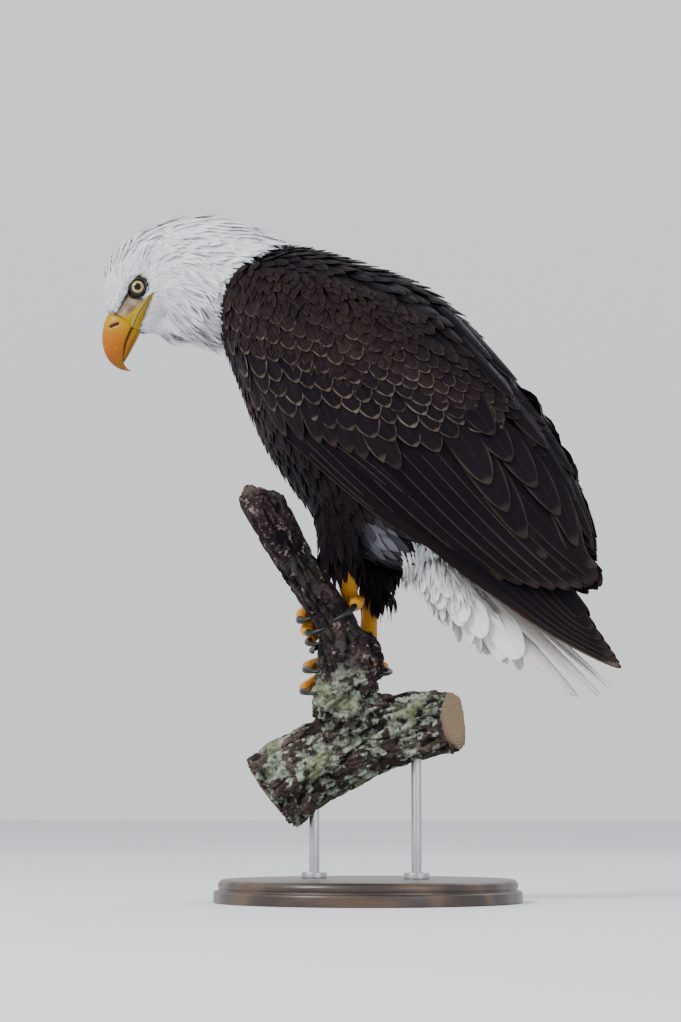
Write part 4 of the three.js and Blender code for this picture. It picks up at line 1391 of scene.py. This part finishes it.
def eye_paint():
    """Pale yellow iris with fine rays and a dark rim, round a black pupil."""
    paint = Paint("eye_finish", Roughness=0.04, IOR=1.34, Specular_IOR_Level=0.5)
    f = paint.distance(EYE_MIDDLE, FORWARD) - EYE_AHEAD
    c = paint.distance(EYE_MIDDLE, CROWNWARD)
    radius = (f * f + c * c) ** 0.5
    flat = paint.node("ShaderNodeCombineXYZ", {}, f / (radius + 1e-5), c / (radius + 1e-5), radius * 120)
    rays, flecks = paint.noise(7.0, 3, flat), paint.noise(1400, 2)
    colour = paint.over(
        paint.mix(rays.step(0.35, 0.7), (0.33, 0.25, 0.08), (0.56, 0.48, 0.24)),
        (flecks.step(0.55, 0.75) * 0.35, (0.3, 0.2, 0.05)),
        (radius.step(PUPIL + 0.0012, PUPIL) * 0.55, (0.2, 0.12, 0.03)),
        (radius.step(IRIS - 0.002, IRIS - 0.0003), (0.03, 0.022, 0.012)),
        (radius.step(PUPIL + 0.00025, PUPIL - 0.0001), (0.0015, 0.0014, 0.0016)),
        (radius.step(IRIS - 0.0001, IRIS + 0.0005), (0.012, 0.01, 0.009)),
    )
    return paint.finish(Base_Color=colour)


def lid_paint():
    paint = Paint("lid_finish", Roughness=0.42, Specular_IOR_Level=0.45)
    colour = paint.mix(paint.noise(260, 2), (0.01, 0.009, 0.008), (0.03, 0.026, 0.018))
    return paint.finish(paint.noise(1500, 3), 0.0003, Base_Color=colour)


def build_eyes():
    balls = []
    for side in SIDES:
        gaze = side * -HEAD_LEFT
        clear_selection()
        bpy.ops.mesh.primitive_uv_sphere_add(segments=72, ring_count=48, radius=EYE_RADIUS)
        ball = bpy.context.object
        points = points_of(ball)
        radius = np.hypot(points[:, 0], points[:, 1])
        points[:, 2] += CORNEA[1] * np.clip(1 - (radius / CORNEA[0]) ** 2, 0, 1) ** 1.5 * (points[:, 2] > 0)
        lay_points(ball, EYES[side] + points @ np.array([FORWARD, np.cross(gaze, FORWARD), gaze]))
        ball.data.shade_smooth()
        balls.append(face_outwards(ball))
    finish_piece("eyes", balls, eye_paint(), "eyes", "eye_left", "eye_right")


def lid_margin(angle):
    """The radius of the eye's opening at an angle from FORWARD to CROWNWARD: round, but cut by the brow."""
    under_brow = np.cos(angle - math.radians(75))
    return 0.0082 - 0.001 * np.clip(under_brow, 0, 1) ** 3 + 0.0004 * np.cos(2 * (angle - math.radians(20)))


def build_lids(surface):
    """Thick dark rims that wrap the balls and run out into the face, widest behind and in front."""
    rims = []
    angles = np.linspace(0, 2 * math.pi, 96, endpoint=False)
    ways = np.cos(angles)[:, None] * FORWARD + np.sin(angles)[:, None] * CROWNWARD
    opening = lid_margin(angles)
    width = 0.002 + 0.0028 * np.clip(np.cos(angles - math.radians(176)), 0, 1) ** 3
    outer = opening + width
    margin = np.sqrt(EYE_RADIUS**2 - opening**2)
    folds = 0.00012 * np.sin(angles * 23) + 0.0001 * np.sin(angles * 37 + 1.3)
    for side in SIDES:
        gaze = side * -HEAD_LEFT
        starts = EYES[side] + ways * outer[:, None] + gaze * 0.05
        face_height = (surface.seen_along(starts, -gaze, 0.08, 0.045) - EYES[side]) @ gaze
        skin_level = np.minimum(face_height, margin + 0.0015)
        profile = (
            (opening - 0.0002, margin - 0.0012),
            (opening, margin + 0.00035),
            (opening + 0.00035, margin + 0.00085 + folds),
            (opening + 0.0009, margin + 0.0008 + folds),
            (opening + width * 0.55, mix(margin + 0.00045, skin_level + 0.0004, 0.5) - folds),
            (outer, skin_level + 0.00025),
            (outer + 0.0009, skin_level - 0.001),
            (outer, skin_level - 0.0034),
            (opening + 0.0006, margin - 0.0034),
        )
        rings = [EYES[side] + ways * r[:, None] + gaze * np.reshape(h, (-1, 1)) for r, h in profile]
        rims.append(loft("lid", np.stack(rings, 1), closed=True))
    lids = join("lids", *rims)
    modify(lids, "SUBSURF", levels=1, render_levels=1)
    finish_piece("lids", [lids], lid_paint(), "eyes")


# ---------------------------------------------------------------- bill and gape
# Ridge f and c, cutting edge f and c, and half-width of the upper bill, in mm, from inside the head outwards.
UPPER_BILL = (
    (12, 13.0, 12, -10.0, 7.5), (22, 15.5, 22, -11.5, 8.5), (35.5, 19.0, 34.5, -10.7, 9.4),
    (38.5, 20.6, 37.5, -10.6, 12.6), (42.5, 21.4, 40.5, -10.5, 15.0), (51, 21.3, 47.5, -10.4, 14.9),
    (62, 18.9, 56, -10.6, 13.4), (72, 14.6, 64, -11.2, 11.9), (80, 8.9, 71, -12.8, 10.2),
    (86.2, 2.6, 77.5, -15.0, 8.2), (90.4, -4.8, 82.5, -17.4, 6.2), (92.5, -13.0, 86.0, -20.0, 4.3),
    (92.6, -20.5, 88.0, -23.5, 2.8), (91.4, -26.2, 88.9, -27.2, 1.6), (89.6, -30.3, 89.2, -30.4, 0.5),
)
# f, upper edge, lower edge and half-width of the lower bill.
LOWER_BILL = (
    (12, -8, -20.0, 11.5), (30, -9.2, -21.2, 13.4), (46, -9.2, -21.4, 13.2), (60, -9.8, -20.8, 11.2),
    (72, -11.8, -20.0, 8.4), (80, -14.2, -19.2, 5.6), (83, -16.4, -18.6, 2.2),
)
CERE_END = 0.056
NOSTRIL = ((0.0532, 0.0116), (0.0472, 0.0054), 0.0018)  # its two ends as f and c, and its half-width
GAPE = (
    (0.047, -0.0125), (0.038, -0.0122), (0.028, -0.0128),
    (0.018, -0.0146), (0.009, -0.0165), (0.001, -0.0185),
)


def from_nostril(f, c):
    """Distances to the nostril's slit, as a share of its half-width."""
    (f0, c0), (f1, c1), half = NOSTRIL
    along = ((f - f0) * (f1 - f0) + (c - c0) * (c1 - c0)) / ((f1 - f0) ** 2 + (c1 - c0) ** 2)
    along = np.clip(along, 0, 1)
    return np.hypot(f - mix(f0, f1, along), c - mix(c0, c1, along)) / half


def bill_paint():
    """Waxy yellow at the base, orange beyond the cere, and a horn-pink tip; the lower part is darkened as
    painted shade, and the nostril is painted near-black as the shade inside it.
    """
    paint = Paint("bill_finish", Specular_IOR_Level=0.22, Coat_Weight=0.03, Coat_Roughness=0.3)
    f, c = paint.distance(HEAD_ORIGIN, FORWARD), paint.distance(HEAD_ORIGIN, CROWNWARD)
    streaks, mottle = paint.stretched_noise(60, 4, (1.0, 1.0, 0.35)), paint.noise(240, 3)
    slit = paint.attribute("slit")
    nostril = slit.step(1.25, 0.85)
    base = paint.ramp(
        (f + streaks * 0.012 - 0.006 - (c - 0.005) * 0.22) * 10,
        (0.1, (0.24, 0.14, 0.0)), (0.4, (0.36, 0.2, 0.0)), (0.52, (0.37, 0.18, 0.0)),
        (0.62, (0.35, 0.115, 0.0)), (0.78, (0.29, 0.072, 0.0)), (0.92, (0.22, 0.048, 0.001)),
    )
    colour = paint.over(
        base,
        # Painted shade: the bill turns darker olive-brown towards its lower edge.
        (c.step(-0.002, -0.016) * f.step(0.02, 0.05) * 0.55, (0.17, 0.095, 0.002)),
        (c.step(-0.0215, -0.0275) * f.step(0.08, 0.085), (0.32, 0.115, 0.11)),
        (mottle.step(0.52, 0.74) * 0.3, (0.36, 0.2, 0.02)),
        (slit.step(2.6, 1.0) * 0.45, (0.3, 0.08, 0.01)),
        # The nostril's opening is painted near-black, as painted shade inside it.
        (nostril, (0.022, 0.004, 0.003)),
    )
    height = (f * 900 + streaks * 9).sin() * 0.25 + mottle * 0.9 + streaks
    return paint.finish(height, 0.00022, Base_Color=colour, Roughness=0.3 + mottle * 0.16 + nostril * 0.3)


def build_bill():
    turn = np.linspace(0, math.radians(112), 26)
    depth = (1 - np.cos(turn)) / (1 - math.cos(turn[-1]))
    inner = np.linspace(0.85, 0, 7)
    rings = []
    for ridge_f, ridge_c, edge_f, edge_c, half in curve(UPPER_BILL, np.linspace(0, 1, 150)) * MM:
        lip = 0.0007 * fade(0.0, 0.01, half)
        f = np.concatenate([mix(ridge_f, edge_f, depth), mix(edge_f, ridge_f, 0.1 * (1 - inner))])
        c = np.concatenate([mix(ridge_c, edge_c, depth), mix(edge_c, ridge_c, 0.1 * (1 - inner)) + lip])
        s = half * np.concatenate([np.sin(turn) ** 0.92, inner * math.sin(turn[-1]) ** 0.92])
        cere = fade(CERE_END + 0.001, CERE_END - 0.0012, f + 0.1 * c) * (1 + 0.05 * np.sin(c * 900))
        s = s * (1 + 0.035 * cere)
        c = c + 0.0005 * cere * np.cos(np.concatenate([turn, np.full(len(inner), 2.0)]))
        s = s - 0.0017 * np.exp(-(from_nostril(f, c) ** 2)) * (s > 0.004)
        one = np.stack([f, c, s], 1)
        other = one[-2:0:-1] * (1, 1, -1)
        rings.append(from_local(HEAD, *np.concatenate([one, other]).T))
    upper = loft("upper_bill_horn", rings)

    turn = np.linspace(0, 2 * math.pi, 56, endpoint=False)
    level = (1 + np.sign(np.cos(turn)) * np.abs(np.cos(turn)) ** 0.75) / 2
    rings = []
    for f, top, bottom, half in curve(LOWER_BILL, np.linspace(0, 1, 90)) * MM:
        s = half * np.sign(np.sin(turn)) * np.abs(np.sin(turn)) ** 0.8 * (0.8 + 0.2 * level)
        rings.append(from_local(HEAD, f, mix(bottom, top, level), s))
    lower = loft("lower_bill_horn", rings)
    for horn in (upper, lower):
        f, c, s = to_local(HEAD, points_of(horn))
        mark(horn, "slit", np.where((horn is upper) & (np.abs(s) > 0.002), from_nostril(f, c), 9))
    finish_piece("bill_horn", [upper, lower], bill_paint(), "bill", "upper_bill", "lower_bill")


def gape_paint():
    paint = Paint("gape_finish", Roughness=0.42, Specular_IOR_Level=0.45)
    f, mottle = paint.distance(HEAD_ORIGIN, FORWARD), paint.noise(500, 3)
    lip = ((0.05, (0.2, 0.13, 0.012)), (0.45, (0.3, 0.19, 0.006)), (0.9, (0.36, 0.225, 0.002)))
    colour = paint.over(
        paint.ramp(f * 20, *lip),
        (mottle.step(0.45, 0.75) * 0.5, (0.16, 0.095, 0.01)),
        # Painted shade: the mouth's line between the lips is painted dark.
        (paint.attribute("mouth").step(0.35, 0.95), (0.06, 0.03, 0.006)),
    )
    return paint.finish(mottle, 0.0004, Base_Color=colour)


def build_gape(surface):
    """The fleshy yellow corner of the mouth: two lips with the mouth's line between them, painted dark as
    painted shade.
    """
    shares = np.linspace(0, 1, 60)
    path = curve(GAPE, shares)
    across = unit(np.stack([-np.gradient(path[:, 1]), np.gradient(path[:, 0])], 1))
    turn = np.linspace(0, 2 * math.pi, 44, endpoint=False)
    x = np.cos(turn)
    lips = np.abs(np.sin(turn)) ** 0.8 * np.sign(np.sin(turn))
    groove = 0.6 * np.exp(-((x - 0.15) / 0.16) ** 2) * (turn < math.pi)
    # Where the mouth's line is painted dark, as painted shade between the lips.
    mouth = np.exp(-((x - 0.15) / 0.2) ** 2) * (turn < math.pi)
    strips = []
    for side in SIDES:
        gaze = side * -HEAD_LEFT
        rings = []
        for share, middle_line, way in zip(shares, path, across):
            ends = (1 - fade(0.86, 1.0, share) * 0.85) * (0.25 + 0.75 * fade(-0.02, 0.16, share))
            half, thick = mix(0.0043, 0.0026, share) * ends, mix(0.0016, 0.0013, share) * ends
            f, c = (middle_line + way * (x * half)[:, None]).T
            hits = surface.seen_along(from_local(HEAD, f, c, -side * 0.08), -gaze, 0.1, 0.066)
            rings.append(hits + gaze * ((lips - groove) * thick)[:, None])
        strip = loft("gape", rings)
        mark(strip, "mouth", np.append(np.tile(mouth, len(rings)), [0, 0]))
        strips.append(strip)
    finish_piece("gape", strips, gape_paint(), "bill")


# ---------------------------------------------------------------- feet and claws
CLAWS = ("inner", "middle", "outer", "hind")
SCUTE = 0.0034  # length of one scute along a toe


def main_axis(node):
    """The middle of a CAD node and the direction in which it reaches furthest."""
    points = points_of(NODES[node])
    centre = points.mean(0)
    return centre, np.linalg.svd(points - centre, full_matrices=False)[2][0]


def foot_paint():
    """Orange-yellow horny skin: broad plates along the tops of the toes and fine grains elsewhere, with
    painted shade in the grooves between plates and round the grains.
    """
    paint = Paint("foot_finish", Specular_IOR_Level=0.3)
    plates, groove, *_ = paint.channels("scale")
    mottle, broad = paint.noise(220, 4), paint.noise(45, 2)
    cells = {"feature": "DISTANCE_TO_EDGE"}
    grains = paint.node("ShaderNodeTexVoronoi", cells, Vector=paint.place(), Scale=620, Randomness=0.8)
    colour = paint.over(
        paint.mix(broad, (0.54, 0.205, 0.002), (0.64, 0.3, 0.003)),
        (mottle.step(0.48, 0.75) * 0.5, (0.42, 0.14, 0.01)),
        # Painted shade in the grooves between the plates and round the fine grains.
        (groove * 0.55, (0.16, 0.05, 0.008)),
        (grains.step(0.16, 0.02) * (1 - plates) * 0.5, (0.2, 0.07, 0.01)),
    )
    height = grains.min(0.25) * 2 * (1 - plates) + mottle * 0.5
    return paint.finish(height, 0.0006, Base_Color=colour, Roughness=0.42 + mottle * 0.18)


def build_feet():
    """Feet with scutes raised along the toes and down the front of the shank."""
    feet = []
    centre, axis = main_axis("perch_stub")
    for side, name in SIDES.items():
        foot = wrap(f"foot_shell_{name}", [f"foot_{name}"], 0.00105, 8)
        places, normals = points_of(foot), normals_of(foot)
        claw_roots = np.array([points_of(NODES[f"claw_{name}_{c}"]).mean(0) for c in CLAWS])
        from_claw = np.linalg.norm(places[:, None] - claw_roots[None], axis=2).min(1)
        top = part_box(f"foot_{name}")[1].z
        on_shank = fade(top - 0.075, top - 0.06, places[:, 2])
        away = places - centre
        away = unit(away - (away @ axis)[:, None] * axis)
        upper = fade(0.1, 0.55, (normals * away).sum(1)) * (1 - on_shank)
        upper = np.maximum(upper, fade(0.15, 0.6, normals @ unit([-0.9, side * 0.4, 0.0])) * on_shank)
        phase = (mix(from_claw, places[:, 2], on_shank) / SCUTE) % 1
        groove = np.exp(-((np.minimum(phase, 1 - phase) / 0.1) ** 2)) * upper
        swell = np.sin(phase * math.pi) * upper
        lay_points(foot, places + normals * (0.00045 * swell - 0.00035 * groove)[:, None])
        ones = np.ones(len(places))
        mark(foot, "scale", np.stack([upper, groove, ones, ones], 1))
        feet.append(foot)
    finish_piece("feet_skin", feet, foot_paint(), "feet", "foot_left", "foot_right")


def claw_paint():
    paint = Paint("claw_finish", Specular_IOR_Level=0.3, Coat_Weight=0.1, Coat_Roughness=0.25)
    grain = paint.noise(300, 3)
    colour = paint.ramp(
        grain, (0.3, (0.003, 0.003, 0.0035)), (0.6, (0.008, 0.007, 0.007)), (0.8, (0.025, 0.021, 0.019))
    )
    return paint.finish(grain, 0.0003, Base_Color=colour, Roughness=0.24 + grain * 0.22)


def build_claws():
    nodes = [f"claw_{side}_{claw}" for side in SIDES.values() for claw in CLAWS]
    claws = edit(copy_nodes("claws_horn", nodes), bpy.ops.mesh.tris_convert_to_quads)
    modify(claws, "SUBSURF", levels=2, render_levels=2)
    modify(claws, "DISPLACE", strength=0.001, mid_level=0)
    claws.data.shade_smooth()
    finish_piece("claws_horn", [claws], claw_paint(), "claws", *nodes)


# ---------------------------------------------------------------- branch and stand
KNOT = (-0.06, -0.028, 0.348)


def bark_paint():
    """Dark fissured bark with lichen, a dead bare stub with pinkish scabs, and weathered sawn ends, with
    painted shade that darkens the bark and the dead wood deep in the fissures.
    """
    paint = Paint("bark_finish", Specular_IOR_Level=0.12)
    height, cut, dead, ring = paint.channels("bark")
    rough, fine, blotch, crust = (paint.noise(*kind) for kind in ((38, 6), (240, 5), (26, 3), (110, 5)))
    bark = paint.ramp(
        rough * 0.55 + fine * 0.45,
        (0.32, (0.01, 0.008, 0.008)), (0.5, (0.04, 0.03, 0.026)), (0.68, (0.12, 0.092, 0.076)),
    )
    deadwood = paint.ramp(
        rough * 0.5 + fine * 0.5,
        (0.36, (0.005, 0.004, 0.006)), (0.54, (0.024, 0.014, 0.018)), (0.7, (0.085, 0.052, 0.05)),
    )
    lichen = paint.over(
        paint.mix(crust.step(0.4, 0.62), (0.09, 0.11, 0.085), (0.33, 0.37, 0.3)),
        (blotch.step(0.55, 0.65) * 0.6, (0.22, 0.245, 0.1)),
        (fine.step(0.45, 0.6) * 0.55, (0.06, 0.078, 0.055)),
    )
    patches = (blotch * 0.55 + crust * 0.45).step(0.485, 0.52)
    patches = patches * (1 - dead * 0.9) * (1 - cut) * (0.35 + height * 0.65)
    scabs = (paint.noise(70, 4) * 0.6 + fine * 0.4).step(0.575, 0.62) * dead * (1 - cut)
    knot = paint.vector("DISTANCE", paint.place(), KNOT, out=1)
    scabs = scabs.max((knot + fine * 0.006).step(0.0135, 0.0105))
    rings = ((ring * 1900 + rough * 14).sin() * 0.5 + 0.5) * (0.2 + fine)
    wood = paint.over(
        paint.mix(rings, (0.3, 0.215, 0.14), (0.15, 0.1, 0.062)),
        (ring.step(0.03, 0.046) * 0.5, (0.1, 0.065, 0.042)),
        (dead * 0.9, paint.mix(fine, (0.02, 0.014, 0.014), (0.11, 0.082, 0.07))),
    )
    colour = paint.over(
        bark,
        # Painted shade: bark and dead wood darken to near-black the deeper they are carved.
        (height.step(0.55, 0.15) * 0.9, (0.005, 0.004, 0.004)),
        (dead, paint.over(deadwood, (height.step(0.5, 0.1) * 0.8, (0.003, 0.002, 0.003)))),
        (patches * 0.95, lichen),
        (scabs * 0.75, paint.mix(fine, (0.1, 0.066, 0.06), (0.32, 0.235, 0.205))),
        (cut, wood),
    )
    return paint.finish(fine + rough + patches * 0.8, 0.0016, Base_Color=colour, Roughness=0.82 + fine * 0.15)


def build_branch():
    """The perch: fissured bark carved inwards where the toes lie, knobs further off, and a splintered top."""
    branch = wrap("branch", ("perch_stub", "perch_limb"), 0.0021, 4)
    places, normals = points_of(branch), normals_of(branch)
    foot_of_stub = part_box("perch_stub")[0].z
    dead = fade(foot_of_stub + 0.035, foot_of_stub + 0.075, places[:, 2])
    feet = Surface(bpy.data.objects["feet_skin"])
    clear = fade(0.006, 0.02, np.linalg.norm(feet.nearest(places)[0] - places, axis=1))
    carve, cut, ring = np.zeros((3, len(places)))
    for name, share in (("perch_limb", 1 - dead), ("perch_stub", dead)):
        centre, axis = main_axis(name)
        offset = places - centre
        along = offset @ axis
        away = offset - along[:, None] * axis
        squeezed = away + 0.24 * along[:, None] * axis
        plates, cracks, knobs, grain = (
            np.array([noise.noise(Vector(p * scale)) for p in squeezed]) for scale in (80, 170, 34, 300)
        )
        fissure = np.exp(-((plates / 0.13) ** 2)) + 0.5 * np.exp(-((cracks / 0.12) ** 2))
        relief = 0.0026 * fissure + 0.0018 * (0.5 + 0.5 * knobs) + 0.0008 * np.abs(grain)
        relief -= clear * (0.0048 * knobs + 0.0016 * np.abs(cracks) - 0.0016 * fissure)
        end = (np.abs(normals @ axis) > 0.8) & (np.abs(along) > 0.8 * np.abs(along).max()) & (share > 0.5)
        flat = 0.0008 + 0.0005 * np.abs(grain)
        if name == "perch_stub":
            flat = 0.006 * np.abs(plates) + 0.005 * np.abs(cracks)
        carve += share * np.where(end, flat, relief)
        cut = np.maximum(cut, end)
        ring += share * np.linalg.norm(away, axis=1)
    carve -= 0.0035 * np.exp(-((np.linalg.norm(places - KNOT, axis=1) / 0.01) ** 2))
    lay_points(branch, places - normals * carve[:, None])
    # The first channel says how shallow the bark lies; the finish turns it into painted shade in the deep
    # fissures.
    mark(branch, "bark", np.stack([1 - np.clip(carve / 0.0052, 0, 1), cut, dead, ring], 1))
    branch.data.shade_smooth()
    finish_piece("branch", [branch], bark_paint(), "bark", "perch_stub", "perch_limb")


def stand_paint():
    """Dark walnut with long grain and a satin lacquer."""
    paint = Paint("stand_wood_finish", Specular_IOR_Level=0.5, Coat_Weight=0.35, Coat_Roughness=0.22)
    warp = paint.stretched_noise(3.2, 2, (1.0, 5.0, 5.0))
    grain = paint.stretched_noise(30, 5, (0.35, 9.0, 9.0), Distortion=0.3)
    pores = paint.stretched_noise(120, 3, (0.35, 7.0, 7.0))
    figure = ((paint.distance((0, 0, 0), (0, 1, 0)) * 130 + warp * 14).sin() * 0.5 + 0.5) * 0.5 + grain * 0.5
    colour = paint.ramp(
        figure, (0.25, (0.02, 0.0105, 0.0062)), (0.5, (0.046, 0.024, 0.013)), (0.78, (0.082, 0.045, 0.024))
    )
    colour = paint.over(colour, (pores.step(0.6, 0.72) * 0.6, (0.01, 0.006, 0.004)))
    return paint.finish(pores + grain * 0.5, 0.0002, Base_Color=colour, Roughness=0.34 + grain * 0.18)


def steel_paint():
    paint = Paint("steel_finish", Metallic=1.0)
    brushed = paint.stretched_noise(160, 3, (6.0, 6.0, 0.25))
    colour = paint.mix(brushed, (0.36, 0.37, 0.39), (0.58, 0.59, 0.61))
    roughness = 0.26 + brushed * 0.16 + paint.noise(22, 3) * 0.1
    return paint.finish(brushed, 0.0001, Base_Color=colour, Roughness=roughness)


def lathe(name, profile, centre, finish, slot, replaced, segments=56):
    """A turned piece round an upright axis from (radius, height) pairs."""
    clear_selection()
    radius, height = profile[0]
    bpy.ops.mesh.primitive_circle_add(vertices=segments, radius=radius, location=(*centre, height))
    turned = bpy.context.object
    bpy.ops.object.transform_apply(location=True, rotation=True, scale=True)
    bpy.ops.object.mode_set(mode="EDIT")
    bpy.ops.mesh.select_all(action="SELECT")
    bpy.ops.mesh.edge_face_add()
    for (radius, height), (new_radius, new_height) in zip(profile, profile[1:]):
        bpy.ops.mesh.extrude_region_move(TRANSFORM_OT_translate={"value": (0, 0, new_height - height)})
        grow = new_radius / radius
        bpy.ops.transform.resize(value=(grow, grow, 1), center_override=(*centre, new_height))
    face_outwards(turned)
    bpy.ops.object.shade_smooth_by_angle(angle=math.radians(35))
    finish_piece(name, [turned], finish, slot, replaced)


def rounded(radius, low, high, bevel, steps=4):
    """A profile from the foot of a turned disc to its top, with a round upper edge and a small lower one."""
    turn = np.linspace(0, math.pi / 2, steps)
    small = bevel * 0.3
    foot = [(radius - small, low), (radius, low + small)]
    return foot + [(radius - bevel + bevel * math.cos(t), high - bevel + bevel * math.sin(t)) for t in turn]


def round_size(node):
    """Radius, middle, foot and top of an upright round CAD node."""
    low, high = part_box(node)
    return (high.x - low.x) / 2, ((low.x + high.x) / 2, (low.y + high.y) / 2), low.z, high.z


def build_stand():
    wood, steel = stand_paint(), steel_paint()
    radius, centre, foot, top = round_size("stand_base")
    profile = rounded(radius, foot, top * 0.52, 0.003, 5)
    profile += [(radius - 0.0055, top * 0.52), (radius - 0.006, top * 0.6)]
    profile += rounded(radius - 0.005, top * 0.62, top, 0.0065, 7)[1:]
    lathe("base_disc", profile, centre, wood, "stand_wood", "stand_base", segments=192)
    for number in (1, 2):
        for part, bevel in (("rod", 0.0006), ("collar", 0.0012)):
            radius, centre, foot, top = round_size(f"stand_{part}_{number}")
            profile = rounded(radius, foot, top, bevel)
            lathe(f"{part}_{number}", profile, centre, steel, "steel", f"stand_{part}_{number}")


# ---------------------------------------------------------------- the whole model
set_stage()
SHELLS = build_shells()
SURFACES = {name: Surface(shell) for name, shell in SHELLS.items()}
BODY_SURFACE, HEAD_SURFACE = SURFACES["body"], SURFACES["head"]
build_head_coat(HEAD_SURFACE, BODY_SURFACE)
build_contour(BODY_SURFACE, HEAD_SURFACE)
for SIDE in SIDES:
    FLANK = Flank(BODY_SURFACE, SIDE)
    build_coverts(FLANK)
    build_secondaries(FLANK)
    build_primaries(SIDE)
build_scapulars(BODY_SURFACE)
build_tail()
build_undertail(SURFACES["undertail"], BODY_SURFACE)
for SIDE, NAME in SIDES.items():
    build_thigh(SIDE, SURFACES[f"thigh_{NAME}"], BODY_SURFACE)
build_eyes()
build_lids(HEAD_SURFACE)
build_bill()
build_gape(HEAD_SURFACE)
build_skin(SHELLS, HEAD_SURFACE)
build_feet()
build_claws()
build_branch()
build_stand()
build_head_spikes(HEAD_SURFACE, BODY_SURFACE)
